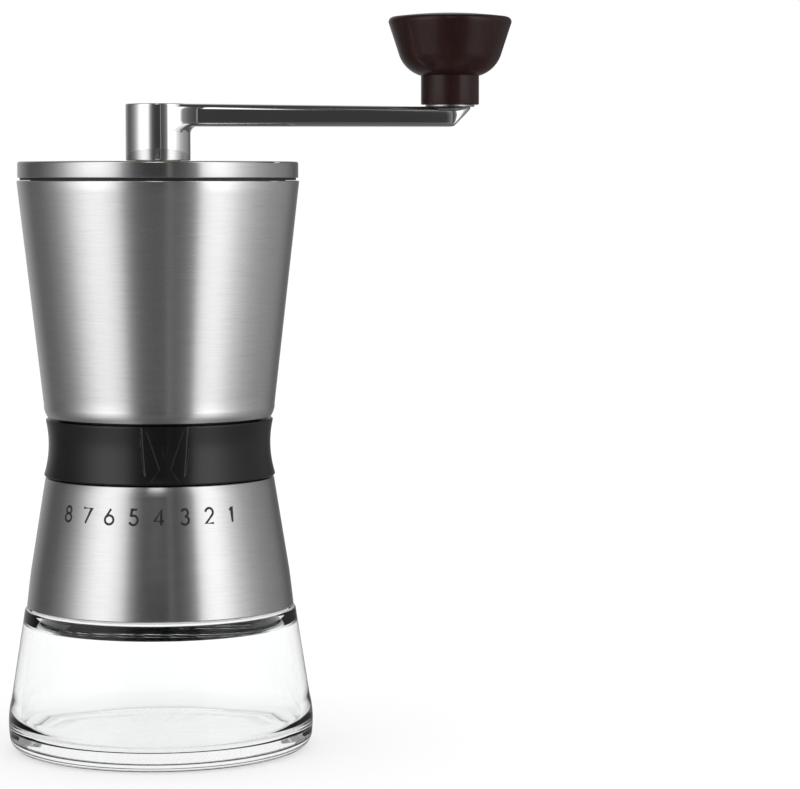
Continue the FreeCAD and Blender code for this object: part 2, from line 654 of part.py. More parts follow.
# ---- burr carrier ---------------------------------------------------------------------------
def burr_carrier():
    head_z = outer_burr_z + OUTER_BURR_HEIGHT
    lip_r = burr_r + BURR_GAP + CARRIER_LIP_SHORT
    carrier = turned_polygon(
        (lip_r, carrier_z), (carrier_r, carrier_z), (carrier_r, carrier_top_z),
        (carrier_bore_r, carrier_top_z), (carrier_bore_r, outer_burr_z), (lip_r, outer_burr_z))
    groove = tube(carrier_bore_r + CIRCLIP_W / 2, carrier_bore_r - 1, head_z + SEATED, CIRCLIP_T)
    hole = Part.makeCylinder(PIN_R + SEATED, CORE_R, V(outer_burr_r, 0, pin_z), V(1, 0, 0))
    return carrier.cut([groove] + pattern(hole, PINS))


def adjust_pins():
    pin = Part.makeCylinder(PIN_R, pin_tip_r - outer_burr_r - SEATED,
                            V(outer_burr_r + SEATED, 0, pin_z), V(1, 0, 0))
    return Part.makeCompound(pattern(pin, PINS))


def carrier_circlip():
    outer = carrier_bore_r + CIRCLIP_W / 2 - SEATED
    head_z = outer_burr_z + OUTER_BURR_HEIGHT
    ring = tube(outer, outer - CIRCLIP_W, head_z + 2 * SEATED, CIRCLIP_T - 2 * SEATED)
    gap = Part.makeBox(CORE_R, CIRCLIP_MOUTH, 2 * CIRCLIP_T,
                       V(0, -CIRCLIP_MOUTH / 2, head_z - CIRCLIP_T / 2))
    return ring.cut(gap)


def carrier_spring():
    mean_r = (carrier_r + carrier_bore_r) / 2
    return coil(mean_r, SPRING_WIRE_R, carrier_top_z, core_top_z - carrier_top_z, SPRING_TURNS)


# ---- burrs ----------------------------------------------------------------------------------
def tooth_cutter(radius, z, depth, length):
    """A three-sided cutter laid along the cone at a radius and height, slightly skewed."""
    lean = math.degrees(math.atan(BURR_SLOPE))
    corners = [V(-depth, 0, -length / 2), V(depth, -depth, -length / 2), V(depth, depth, -length / 2)]
    cutter = Part.Face(Part.makePolygon(corners + corners[:1])).extrude(V(0, 0, length))
    cutter.rotate(ORIGIN, V(1, 0, 0), TOOTH_SKEW)
    cutter.rotate(ORIGIN, V(0, 1, 0), -lean)
    cutter.translate(V(radius, 0, z))
    return cutter


def inner_burr():
    top = burr_z + BURR_HEIGHT
    cone_top = top - BURR_TOP_FLAT
    top_r = inner_burr_radius(cone_top)
    cone = turned_polygon((0, burr_z), (burr_r, burr_z), (burr_r, burr_z + BURR_LAND), (top_r, cone_top),
                          (top_r, top), (0, top))
    low = burr_z + BURR_LAND + GRIND_ZONE / 2
    fine = tooth_cutter(inner_burr_radius(low), low, TOOTH_DEPTH, 2.2 * GRIND_ZONE)
    mid = burr_z + BURR_HEIGHT * 0.7
    coarse = tooth_cutter(inner_burr_radius(mid), mid, FLUTE_DEPTH, BURR_HEIGHT * 0.8)
    seat = hexagon(HEX_AF + 2 * SEATED, burr_z - 1, BURR_HEIGHT + 2)
    return cone.cut([seat] + pattern(fine, BURR_TEETH) + pattern(coarse, FEED_FLUTES))


def outer_burr():
    grind_top = outer_burr_z + GRIND_ZONE
    top = outer_burr_z + OUTER_BURR_HEIGHT
    mouth_r = inner_burr_radius(top) + BURR_MOUTH_GAP
    ring = turned_polygon(
        (burr_r + BURR_GAP, outer_burr_z), (outer_burr_r, outer_burr_z), (outer_burr_r, top),
        (mouth_r, top), (inner_burr_radius(grind_top) + BURR_GAP, grind_top))
    low = outer_burr_z + GRIND_ZONE / 2
    cutter = tooth_cutter(inner_burr_radius(low) + BURR_GAP, low, TOOTH_DEPTH, 2.4 * GRIND_ZONE)
    cutter.rotate(V(inner_burr_radius(low) + BURR_GAP, 0, low), UP, 180)
    return ring.cut(pattern(cutter, BURR_TEETH))


# ---- shaft ----------------------------------------------------------------------------------
def drive_shaft():
    burr_top = burr_z + BURR_HEIGHT
    hex_top_z = shaft_top_z - HEX_TOP_L
    journal = rod(JOURNAL_R, bush_z - SHAFT_FOOT, nut_z - bush_z + SHAFT_FOOT)
    thread = rod(NUT_THREAD_R, nut_z, burr_z - nut_z)
    seat = hexagon(HEX_AF, burr_z, BURR_HEIGHT)
    body = rod(SHAFT_R, burr_top, hex_top_z - burr_top)
    drive = hexagon(HEX_AF, hex_top_z, HEX_TOP_L)
    cap = Part.makeCone(HEX_AF / math.sqrt(3) + HEX_TOP_L, HEX_AF / 2 - SHAFT_TIP, HEX_TOP_L + 1,
                        V(0, 0, hex_top_z - 1))
    groove = tube(SHAFT_R + 1, SHAFT_R - CLIP_GROOVE, clip_z(), CLIP_T)
    return journal.fuse([thread, seat, body, drive.common(cap)]).cut(groove).removeSplitter()


def clip_z():
    return upper_bush_z - CLIP_GAP - CLIP_T


def shaft_clip():
    ring = tube(SHAFT_R + CLIP_W, SHAFT_R - CLIP_GROOVE + SEATED, clip_z() + SEATED, CLIP_T - 2 * SEATED)
    mouth = Part.makeBox(2 * SHAFT_R, SHAFT_R, 2 * CLIP_T, V(0, -SHAFT_R / 2, clip_z() - CLIP_T / 2))
    return ring.cut(mouth)


def thrust_washer():
    return tube(JOURNAL_R + BUSH_WALL + BUSH_FLANGE_W, JOURNAL_R + SEATED, washer_z, WASHER_T)


def burr_nut():
    nut = hexagon(NUT_AF, nut_z, NUT_T)
    return nut.cut(rod(NUT_THREAD_R + SEATED, nut_z - 1, NUT_T + 2))


# ---- hopper ---------------------------------------------------------------------------------
def hopper_shell():
    flange_r = CORE_R + SLIDING
    hem_top = (HOPPER_HEM_R, hopper_z + HOPPER_HEM)
    hem_mid = (HOPPER_BOTTOM_R + (HOPPER_HEM_R - HOPPER_BOTTOM_R) * HOPPER_HEM_REACH,
               hopper_z + HOPPER_HEM * HOPPER_HEM_RISE)
    rim = (HOPPER_TOP_R, hopper_top_z)
    outline = [
        line((flange_r, hopper_z), (HOPPER_BOTTOM_R, hopper_z)),
        arc((HOPPER_BOTTOM_R, hopper_z), hem_mid, hem_top),
        line(hem_top, rim),
        line(rim, (HOPPER_TOP_R - SHELL_T, hopper_top_z)),
        line((HOPPER_TOP_R - SHELL_T, hopper_top_z), (hem_top[0] - SHELL_T, hem_top[1])),
        line((hem_top[0] - SHELL_T, hem_top[1]), (HOPPER_BOTTOM_R - SHELL_T, hopper_z + SHELL_T)),
        line((HOPPER_BOTTOM_R - SHELL_T, hopper_z + SHELL_T), (flange_r, hopper_z + SHELL_T)),
        line((flange_r, hopper_z + SHELL_T), (flange_r, hopper_z)),
    ]
    shell = rounded(turned(outline), SHELL_EDGE, rim, (HOPPER_BOTTOM_R, hopper_z))
    return shell.cut(rod(DETENT_BALL_R + FACE_GAP, hopper_z - 1, SHELL_T + 2, 0, detent_r))


def hopper_base():
    seat_z = hopper_z + SHELL_T
    rim_r = HOPPER_BOTTOM_R - SHELL_T - ASSEMBLY
    base = turned_polygon(
        (CORE_R + SEATED, seat_z), (rim_r, seat_z), (rim_r, funnel_z), (outlet_r, funnel_z),
        (outlet_r, core_top_z), (CORE_R + SEATED, core_top_z))
    hole = rod(SCREW_R + SEATED, core_top_z - 1, BASE_PLATE_T + 2, core_screw_r)
    pocket_r = DETENT_BALL_R + RUNNING
    pocket = rod(pocket_r, seat_z - 1, DETENT_SPRING_L + 2 * DETENT_BALL_R + 1, 0, detent_r)
    return base.cut(pattern(hole, ARMS, 60) + [pocket])


def hopper_liner():
    wall_z = funnel_top_z
    throat = FUNNEL_THROAT_R
    foot_r = HOPPER_BOTTOM_R - SHELL_T - 2 * ASSEMBLY
    foot_top = funnel_z + LINER_T
    knee_z = wall_z - LINER_T
    liner = turned_polygon(
        (throat, funnel_z), (throat + LINER_T, funnel_z), (liner_radius(knee_z), knee_z),
        (liner_radius(liner_top_z), liner_top_z), (liner_radius(liner_top_z) - LINER_T, liner_top_z),
        (liner_radius(wall_z) - LINER_T, wall_z), (throat, foot_top))
    boss = rod(BOSS_R, foot_top, bridge_z - foot_top, BOSS_PLACE_R)
    skin = turned_polygon((throat, funnel_z), (foot_r, funnel_z), (liner_radius(wall_z), wall_z),
                          (throat, wall_z))
    cone = turned_polygon(
        (throat, foot_top), (liner_radius(wall_z) - LINER_T / 2, wall_z), (0, wall_z), (0, foot_top))
    bosses = [shape.common(skin).common(cone) for shape in pattern(boss, ARMS)]
    pilot = rod(SCREW_R + SEATED, bridge_z - SCREW_L + BRIDGE_ARM_T - 1, SCREW_L, BOSS_PLACE_R)
    return liner.fuse(bosses).cut(pattern(pilot, ARMS)).removeSplitter()


def bearing_bridge():
    bush_r = SHAFT_R + RUNNING + BUSH_WALL
    hub = rod(bush_r + SEATED + HUB_WALL, upper_bush_z, UPPER_BUSH_L)
    arm = Part.makeBox(BOSS_PLACE_R, BRIDGE_ARM_W, BRIDGE_ARM_T, V(0, -BRIDGE_ARM_W / 2, bridge_z))
    pad = rod(BRIDGE_ARM_W / 2, bridge_z, BRIDGE_ARM_T, BOSS_PLACE_R)
    hole = rod(SCREW_R + SEATED, bridge_z - 1, BRIDGE_ARM_T + 2, BOSS_PLACE_R)
    bore = rod(bush_r + SEATED, upper_bush_z - 1, UPPER_BUSH_L + 2)
    solid = hub.fuse(pattern(arm, ARMS) + pattern(pad, ARMS))
    return solid.cut(pattern(hole, ARMS) + [bore]).removeSplitter()


def bridge_screws():
    return Part.makeCompound(pattern(screw(bridge_z + BRIDGE_ARM_T, BOSS_PLACE_R, True), ARMS))


def upper_bush():
    return flanged_bush(SHAFT_R + RUNNING, upper_bush_z, UPPER_BUSH_L)


# ---- lid ------------------------------------------------------------------------------------
def lid_cap():
    bore = SOCKET_R + RUNNING + LID_BUSH_WALL + SEATED
    inner_r = LID_R - LID_SHEET
    sheet_z = lid_top_z - LID_SHEET
    cap = turned_polygon((bore, sheet_z), (inner_r, sheet_z), (inner_r, lid_z), (LID_R, lid_z),
                         (LID_R, lid_top_z), (bore, lid_top_z))
    return rounded(cap, LID_ROUND, (LID_R, lid_top_z))


def lid_plug():
    bush_r = SOCKET_R + RUNNING + LID_BUSH_WALL
    boss_r = bush_r + LID_BOSS_WALL
    under = lid_z - LID_LINE
    top = lid_top_z - LID_SHEET
    core_r = LID_R - LID_SHEET - ASSEMBLY
    floor = top - PLUG_WALL
    low = under - PLUG_DEPTH
    boss_low = hub_z - SOCKET_BELOW + CLIP_END + CLIP_T + FACE_GAP
    groove_z = low + SEAL_RISE
    plug = turned_polygon(
        (bush_r + SEATED, boss_low), (boss_r, boss_low), (boss_r, floor), (PLUG_R - PLUG_WALL - 1, floor),
        (PLUG_R - PLUG_WALL - 1, low), (PLUG_R, low), (PLUG_R, under), (PLUG_FLANGE_R, under),
        (PLUG_FLANGE_R, lid_z), (core_r, lid_z), (core_r, top), (bush_r + SEATED, top))
    groove = tube(PLUG_R + 1, PLUG_R - SEAL_GROOVE, groove_z, SEAL_W)
    return plug.cut(groove)


def lid_seal():
    z = lid_z - LID_LINE - PLUG_DEPTH + SEAL_RISE
    outer = PLUG_R + SEAL_PROUD
    seal = tube(outer, PLUG_R - SEAL_GROOVE + SEATED, z + SEATED, SEAL_W - 2 * SEATED)
    return rounded(seal, SEAL_EDGE, (outer, z + SEATED), (outer, z + SEAL_W - SEATED))


def lid_bush():
    bore_r = SOCKET_R + RUNNING
    low = hub_z - SOCKET_BELOW + CLIP_END + CLIP_T + FACE_GAP
    return tube(bore_r + LID_BUSH_WALL, bore_r, low, lid_top_z + LID_BUSH_PROUD - low)


# ---- crank ----------------------------------------------------------------------------------
def arm_plan():
    """The arm seen from above: its sides run into the hub in wide hollows and its tip is round."""
    flare_y = ARM_HALF_HUB + ARM_FLARE_R
    flare_x = math.sqrt((HUB_R + ARM_FLARE_R) ** 2 - flare_y ** 2)
    touch = HUB_R / (HUB_R + ARM_FLARE_R)
    turn = math.atan2(flare_x, flare_y) / 2
    half = [(touch * flare_x, touch * flare_y),
            (flare_x - ARM_FLARE_R * math.sin(turn), flare_y - ARM_FLARE_R * math.cos(turn)),
            (flare_x, ARM_HALF_HUB), (CRANK_RADIUS, ARM_HALF_TIP)]
    left = [V(x, y, 0) for x, y in half]
    right = [V(x, -y, 0) for x, y in half]
    tip = V(CRANK_RADIUS + ARM_HALF_TIP, 0, 0)
    edges = [Part.Arc(left[0], left[1], left[2]), Part.LineSegment(left[2], left[3]),
             Part.Arc(left[3], tip, right[3]), Part.LineSegment(right[3], right[2]),
             Part.Arc(right[2], right[1], right[0]), Part.LineSegment(right[0], left[0])]
    return Part.Face(Part.Wire([edge.toShape() for edge in edges]))


def crank_arm():
    tip_x = CRANK_RADIUS + ARM_HALF_TIP
    hub_low = hub_top_z - ARM_T_HUB
    tip_low = arm_tip_top_z - ARM_T_TIP
    chamfer_x = tip_x - ARM_TIP_CHAMFER
    root_x = HUB_R + ARM_ROOT_ROUND
    root_z = hub_low - ARM_ROOT_ROUND
    seat_x = CRANK_RADIUS - KNOB_NECK_R
    hub = rounded(rod(HUB_R, hub_z, HUB_HEIGHT), HUB_EDGE, (HUB_R, hub_z), (HUB_R, hub_top_z))
    side = prism_y([(0, root_z), (HUB_R, root_z), (root_x, hub_low), (chamfer_x, tip_low),
                    (tip_x, arm_tip_top_z - ARM_TIP_EDGE), (tip_x, arm_tip_top_z), (seat_x, arm_tip_top_z),
                    (root_x, hub_top_z), (0, hub_top_z)], HUB_R)
    heel = Part.makeCylinder(ARM_ROOT_ROUND, 2 * HUB_R, V(root_x, -HUB_R, root_z), V(0, 1, 0))
    outline = arm_plan()
    outline.translate(V(0, 0, hub_z))
    arm = outline.extrude(V(0, 0, HUB_HEIGHT)).common(side.cut(heel))
    level_edges = [edge for edge in arm.Edges
                   if edge.BoundBox.ZLength < ARM_BEVEL and edge.BoundBox.XLength > ARM_TIP_EDGE]
    arm = arm.makeFillet(ARM_BEVEL, level_edges)
    stem = rod(SOCKET_STEM_R + SEATED, hub_z - 1, SOCKET_STEM_L + 1 + SEATED)
    pin = rod(KNOB_PIN_R + SEATED, arm_tip_top_z - KNOB_PIN_DEPTH - KNOB_PIN_ROOM, ARM_T_TIP, CRANK_RADIUS)
    return hub.fuse(arm).cut([stem, pin]).removeSplitter()


def drive_socket():
    low = hub_z - SOCKET_BELOW
    body = rod(SOCKET_R, low, SOCKET_BELOW - FACE_GAP / 2)
    stem = rod(SOCKET_STEM_R, low, SOCKET_BELOW + SOCKET_STEM_L)
    bore_top = shaft_top_z + HEX_ROOM
    bore = hexagon(HEX_AF + 2 * HEX_CLEAR, low - 1, bore_top - low + 1)
    groove = tube(SOCKET_R + 1, SOCKET_R - CLIP_GROOVE, low + CLIP_END, CLIP_T)
    return body.fuse(stem).cut([bore, groove]).removeSplitter()


def socket_clip():
    z = hub_z - SOCKET_BELOW + CLIP_END
    ring = tube(SOCKET_R + CLIP_W, SOCKET_R - CLIP_GROOVE + SEATED, z + SEATED, CLIP_T - 2 * SEATED)
    mouth = Part.makeBox(2 * SOCKET_R, SOCKET_R, 2 * CLIP_T, V(0, -SOCKET_R / 2, z - CLIP_T / 2))
    return ring.cut(mouth)


# ---- knob -----------------------------------------------------------------------------------
def on_knob(shape):
    shape.translate(V(CRANK_RADIUS, 0, 0))
    return shape


def knob_solid():
    top = (0, knob_z + KNOB_HEIGHT)
    rim = (KNOB_RIM_R, top[1] - KNOB_CROWN)
    crown_r = (KNOB_RIM_R ** 2 + KNOB_CROWN ** 2) / (2 * KNOB_CROWN)
    half_r = KNOB_RIM_R / 2
    bulge = (half_r, top[1] - crown_r + math.sqrt(crown_r ** 2 - half_r ** 2))
    neck_top = (KNOB_NECK_R, knob_z + KNOB_NECK_H)
    cheek = (KNOB_CHEEK_R, knob_z + KNOB_CHEEK_RISE)
    cup = (KNOB_CUP_R, knob_z + KNOB_CUP_RISE)
    outline = [
        line((0, knob_z), (KNOB_NECK_R, knob_z)),
        line((KNOB_NECK_R, knob_z), neck_top),
        arc(neck_top, cheek, cup),
        line(cup, rim),
        arc(rim, bulge, top),
        line(top, (0, knob_z)),
    ]
    return rounded(turned(outline), KNOB_EDGE, rim)


def knob_body():
    bush_r = KNOB_PIN_R + RUNNING + KNOB_BUSH_WALL
    head_room = rod(KNOB_PLUG_R, knob_z + KNOB_BUSH_L, KNOB_HEIGHT)
    bore = rod(bush_r + SEATED, knob_z - 1, KNOB_HEIGHT)
    return on_knob(knob_solid().cut([head_room, bore]))


def knob_bush():
    bore_r = KNOB_PIN_R + RUNNING
    return on_knob(tube(bore_r + KNOB_BUSH_WALL, bore_r, knob_z, KNOB_BUSH_L))


def knob_plug():
    low = knob_z + KNOB_HEIGHT - KNOB_PLUG_T
    disc = rod(KNOB_PLUG_R - SEATED, low, KNOB_HEIGHT)
    return on_knob(knob_solid().common(disc))


def knob_pin():
    head_z = knob_z + KNOB_BUSH_L + FACE_GAP
    shank_low = arm_tip_top_z - KNOB_PIN_DEPTH
    shank = rod(KNOB_PIN_R, shank_low, head_z - shank_low)
    head = rod(KNOB_PIN_HEAD_R, head_z, KNOB_PIN_HEAD_T)
    recess = hexagon(KNOB_PIN_R, head_z + KNOB_PIN_HEAD_T - KNOB_PIN_RECESS, KNOB_PIN_HEAD_T)
    return on_knob(shank.fuse(head).cut(recess))


def knob_washer():
    return on_knob(tube(KNOB_WASHER_R, KNOB_PIN_R + SEATED, arm_tip_top_z, KNOB_WASHER_T))


PIECES = [
    glass_jar, jar_gasket,
    skirt_shell, threaded_collar, core_tube, collar_screws, base_screws, lower_bridge, lower_bush,
    hopper_shell, hopper_base, hopper_liner, bearing_bridge, bridge_screws, upper_bush,
    detent_ball, detent_spring,
    adjuster_ring,
    burr_carrier, adjust_pins, carrier_circlip, carrier_spring, outer_burr,
    drive_shaft, inner_burr, burr_nut, thrust_washer, shaft_clip,
    lid_cap, lid_plug, lid_seal, lid_bush,
    crank_arm, drive_socket, socket_clip, knob_pin, knob_washer,
    knob_body, knob_bush, knob_plug,
]

os.makedirs("parts", exist_ok=True)
for piece in PIECES:
    shape = piece()
    if not shape.isValid():
        raise ValueError(piece.__name__ + " is not a valid shape")
    print(piece.__name__, len(shape.Solids), "solids", round(shape.Volume, 1), "mm3")
    shape.exportStep("parts/" + piece.__name__ + ".step")
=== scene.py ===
"""Looks of the hand crank coffee grinder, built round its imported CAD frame.

Metres, in the row's frame: the origin is the centre of the jar's resting face, +Z is up and -Y is the front.
"""
import json
import math

import bpy
import bmesh
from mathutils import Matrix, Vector


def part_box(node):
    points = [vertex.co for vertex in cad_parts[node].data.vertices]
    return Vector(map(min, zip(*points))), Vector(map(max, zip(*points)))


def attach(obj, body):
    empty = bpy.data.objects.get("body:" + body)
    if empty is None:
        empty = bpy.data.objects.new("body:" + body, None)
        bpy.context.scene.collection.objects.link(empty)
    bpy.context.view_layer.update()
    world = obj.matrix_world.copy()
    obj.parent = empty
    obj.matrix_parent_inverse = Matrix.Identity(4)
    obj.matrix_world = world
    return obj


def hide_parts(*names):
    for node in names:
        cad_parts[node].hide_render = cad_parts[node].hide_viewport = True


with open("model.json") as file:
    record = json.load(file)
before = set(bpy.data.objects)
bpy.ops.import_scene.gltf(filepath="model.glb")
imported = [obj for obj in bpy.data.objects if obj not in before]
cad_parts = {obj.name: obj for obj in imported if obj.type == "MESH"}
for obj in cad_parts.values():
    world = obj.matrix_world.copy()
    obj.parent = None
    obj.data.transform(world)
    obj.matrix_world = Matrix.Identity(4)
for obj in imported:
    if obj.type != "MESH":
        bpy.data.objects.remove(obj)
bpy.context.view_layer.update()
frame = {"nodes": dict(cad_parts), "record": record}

MM = 0.001
NODES = frame["nodes"]
SCENE = bpy.context.scene
AROUND = 256             # segments of a turned piece
ROUND_STEPS = 6          # segments of a rounded corner
SMOOTH_ANGLE = math.radians(28)


# ---- meshes -----------------------------------------------------------------------------------
def reach(node):
    """(largest radius about Z, lowest z, highest z) of a round CAD node centred on the drive shaft."""
    low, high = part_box(node)
    return (high.x - low.x) / 2, low.z, high.z


def finish_mesh(name, bm, material, body, replaces=()):
    """Turns a bmesh into a shaded piece that rides on a body."""
    bmesh.ops.remove_doubles(bm, verts=bm.verts, dist=1e-7)
    bmesh.ops.recalc_face_normals(bm, faces=bm.faces)
    mesh = bpy.data.meshes.new(name)
    bm.to_mesh(mesh)
    bm.free()
    mesh.shade_smooth()
    mesh.set_sharp_from_angle(angle=SMOOTH_ANGLE)
    piece = bpy.data.objects.new(name, mesh)
    SCENE.collection.objects.link(piece)
    piece.data.materials.append(material)
    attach(piece, body)
    if replaces:
        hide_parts(*replaces)
    return piece


def arc_points(centre, radius, start, end, steps):
    """Points of an arc in the (radius, height) plane, angles in degrees."""
    return [(centre[0] + radius * math.cos(math.radians(start + (end - start) * k / steps)),
             centre[1] + radius * math.sin(math.radians(start + (end - start) * k / steps)))
            for k in range(steps + 1)]


def arc_through(a, m, b, steps):
    """Points of the arc from a to b that passes through m."""
    ax, ay, mx, my, bx, by = *a, *m, *b
    d = 2 * (ax * (my - by) + mx * (by - ay) + bx * (ay - my))
    a2, m2, b2 = ax * ax + ay * ay, mx * mx + my * my, bx * bx + by * by
    ux = (a2 * (my - by) + m2 * (by - ay) + b2 * (ay - my)) / d
    uy = (a2 * (bx - mx) + m2 * (ax - bx) + b2 * (mx - ax)) / d
    radius = math.hypot(ax - ux, ay - uy)
    start = math.atan2(ay - uy, ax - ux)
    middle = (math.atan2(my - uy, mx - ux) - start) % math.tau
    sweep = (math.atan2(by - uy, bx - ux) - start) % math.tau
    if middle > sweep:
        sweep -= math.tau
    return [(ux + radius * math.cos(start + sweep * k / steps),
             uy + radius * math.sin(start + sweep * k / steps)) for k in range(steps + 1)]


def rounded_outline(corners):
    """Points of a closed outline from (radius, height, rounding) corners, each corner an arc."""
    points = []
    count = len(corners)
    for index, (r, z, rounding) in enumerate(corners):
        here = Vector((r, z))
        if rounding <= 0:
            points.append((r, z))
            continue
        before = (Vector(corners[index - 1][:2]) - here).normalized()
        after = (Vector(corners[(index + 1) % count][:2]) - here).normalized()
        half = before.angle(after) / 2
        reach_back = rounding / math.tan(half)
        centre = here + (before + after).normalized() * rounding / math.sin(half)
        first, last = here + before * reach_back, here + after * reach_back
        start = math.atan2(first.y - centre.y, first.x - centre.x)
        sweep = math.atan2(last.y - centre.y, last.x - centre.x) - start
        sweep = (sweep + math.pi) % math.tau - math.pi
        points += [(centre.x + rounding * math.cos(start + sweep * k / ROUND_STEPS),
                    centre.y + rounding * math.sin(start + sweep * k / ROUND_STEPS))
                   for k in range(ROUND_STEPS + 1)]
    return points


def lathe(outline, closed=True, centre=(0.0, 0.0), around=AROUND, shift=None):
    """A bmesh turned about Z from (radius, height) points. shift(radius, height, angle) may move a point."""
    bm = bmesh.new()
    rings = []
    for r, z in outline:
        if r < 1e-7:
            rings.append([bm.verts.new((centre[0], centre[1], z))] * around)
            continue
        ring = []
        for k in range(around):
            angle = math.tau * k / around
            rr, zz = shift(r, z, angle) if shift else (r, z)
            x, y = centre[0] + rr * math.cos(angle), centre[1] + rr * math.sin(angle)
            ring.append(bm.verts.new((x, y, zz)))
        rings.append(ring)
    pairs = list(zip(rings, rings[1:] + (rings[:1] if closed else [])))
    if not closed:
        pairs = pairs[:len(rings) - 1]
    for low, high in pairs:
        for k in range(around):
            n = (k + 1) % around
            corners = []
            for vert in (low[k], low[n], high[n], high[k]):
                if vert not in corners:
                    corners.append(vert)
            if len(corners) > 2:
                bm.faces.new(corners)
    return bm


# ---- material building blocks -------------------------------------------------------------------
def new_material(name, **sockets):
    """A material with a Principled shader whose sockets are set by name, underscores for spaces."""
    material = bpy.data.materials.new(name)
    material.use_nodes = True
    bsdf = material.node_tree.nodes["Principled BSDF"]
    for key, value in sockets.items():
        bsdf.inputs[key.replace("_", " ")].default_value = value
    return material


def add(tree, kind, links=(), **values):
    """Adds a node, sets its inputs or properties, and links (input name, output socket) pairs."""
    node = tree.nodes.new(kind)
    for key, value in values.items():
        if hasattr(node, key):
            setattr(node, key, value)
        else:
            node.inputs[key.replace("_", " ")].default_value = value
    for key, socket in links:
        tree.links.new(socket, node.inputs[key])
    return node


def maths(tree, operation, a, b=None, clamp=False):
    """A Math node's result; a and b are sockets or numbers."""
    node = tree.nodes.new("ShaderNodeMath")
    node.operation = operation
    node.use_clamp = clamp
    for index, value in enumerate((a, b)):
        if value is None:
            continue
        if isinstance(value, (int, float)):
            node.inputs[index].default_value = value
        else:
            tree.links.new(value, node.inputs[index])
    return node.outputs[0]


def ramp(tree, factor, stops, interpolation="LINEAR"):
    """A colour ramp from (position, colour) stops; a plain number is a grey."""
    node = tree.nodes.new("ShaderNodeValToRGB")
    node.color_ramp.interpolation = interpolation
    elements = node.color_ramp.elements
    while len(elements) > 1:
        elements.remove(elements[-1])
    for index, (position, colour) in enumerate(stops):
        element = elements[0] if index == 0 else elements.new(position)
        element.position = position
        element.color = (colour, colour, colour, 1) if isinstance(colour, (int, float)) else (*colour, 1)
    tree.links.new(factor, node.inputs[0])
    return node.outputs["Color"]


def spread(tree, factor, low, high):
    """The factor's 0 to 1 mapped to low to high."""
    return add(tree, "ShaderNodeMapRange", [("Value", factor)], To_Min=low, To_Max=high).outputs["Result"]


def object_place(tree, scale=(1, 1, 1)):
    place = add(tree, "ShaderNodeTexCoord").outputs["Object"]
    return add(tree, "ShaderNodeMapping", [("Vector", place)], Scale=scale).outputs["Vector"]


def turned_place(tree, around, across):
    """Coordinates that run slowly round the Z axis and fast across it, as a lathe marks a surface."""
    place = add(tree, "ShaderNodeTexCoord").outputs["Object"]
    parts = add(tree, "ShaderNodeSeparateXYZ", [("Vector", place)]).outputs
    radius = maths(tree, "SQRT", maths(tree, "ADD", maths(tree, "MULTIPLY", parts["X"], parts["X"]),
                                       maths(tree, "MULTIPLY", parts["Y"], parts["Y"])))
    radius = maths(tree, "MAXIMUM", radius, 1e-5)
    turn_x = maths(tree, "MULTIPLY", maths(tree, "DIVIDE", parts["X"], radius), around)
    turn_y = maths(tree, "MULTIPLY", maths(tree, "DIVIDE", parts["Y"], radius), around)
    rise = maths(tree, "MULTIPLY", maths(tree, "ADD", parts["Z"], radius), across)
    return add(tree, "ShaderNodeCombineXYZ", [("X", turn_x), ("Y", turn_y), ("Z", rise)]).outputs["Vector"]


def noise(tree, place, scale=1.0, detail=4.0, roughness=0.55, distortion=0.0):
    return add(tree, "ShaderNodeTexNoise", [("Vector", place)], Scale=scale, Detail=detail,
               Roughness=roughness, Distortion=distortion).outputs["Fac"]


def bump(tree, height, strength, distance):
    node = add(tree, "ShaderNodeBump", [("Height", height)], Strength=strength, Distance=distance)
    return node.outputs["Normal"]


def feed(material, **links):
    """Links sockets to the Principled shader's inputs by name."""
    tree = material.node_tree
    bsdf = tree.nodes["Principled BSDF"]
    for key, socket in links.items():
        tree.links.new(socket, bsdf.inputs[key.replace("_", " ")])


# ---- materials ----------------------------------------------------------------------------------
def brushed_steel(name, tone, rough):
    """Stainless steel brushed round the body: long fine streaks, a faint slow cloudiness."""
    material = new_material(name, Metallic=1.0, Anisotropic=0.72, Anisotropic_Rotation=0.25)
    tree = material.node_tree
    fine = noise(tree, turned_place(tree, 5.37, 2600.0), detail=5.0, roughness=0.7)
    broad = noise(tree, turned_place(tree, 2.23, 420.0), detail=3.0)
    cloud = noise(tree, object_place(tree), scale=26.0, detail=2.0)
    streaks = maths(tree, "ADD", maths(tree, "MULTIPLY", fine, 0.72), maths(tree, "MULTIPLY", broad, 0.28))
    colour = ramp(tree, streaks, [(0.3, (tone * 0.93, tone * 0.93, tone * 0.934)), (0.5, (tone, tone, tone)),
                                  (0.72, (tone * 1.05, tone * 1.05, tone * 1.046))])
    roughness = maths(tree, "ADD", spread(tree, streaks, *rough), spread(tree, cloud, -0.02, 0.02))
    tangent = add(tree, "ShaderNodeTangent", direction_type="RADIAL", axis="Z").outputs["Tangent"]
    feed(material, Base_Color=colour, Roughness=roughness, Tangent=tangent,
         Normal=bump(tree, streaks, 0.07, 0.00004))
    return material


def mirror_chrome():
    """Polished chrome with faint buffing marks."""
    material = new_material("crank_chrome", Metallic=1.0)
    tree = material.node_tree
    buffing = noise(tree, object_place(tree, (60, 900, 900)), detail=4.0)
    film = noise(tree, object_place(tree), scale=90.0, detail=3.0)
    colour = ramp(tree, film, [(0.3, (0.83, 0.835, 0.84)), (0.7, (0.9, 0.9, 0.9))])
    feed(material, Base_Color=colour, Roughness=spread(tree, buffing, 0.03, 0.075),
         Normal=bump(tree, buffing, 0.03, 0.00001))
    return material


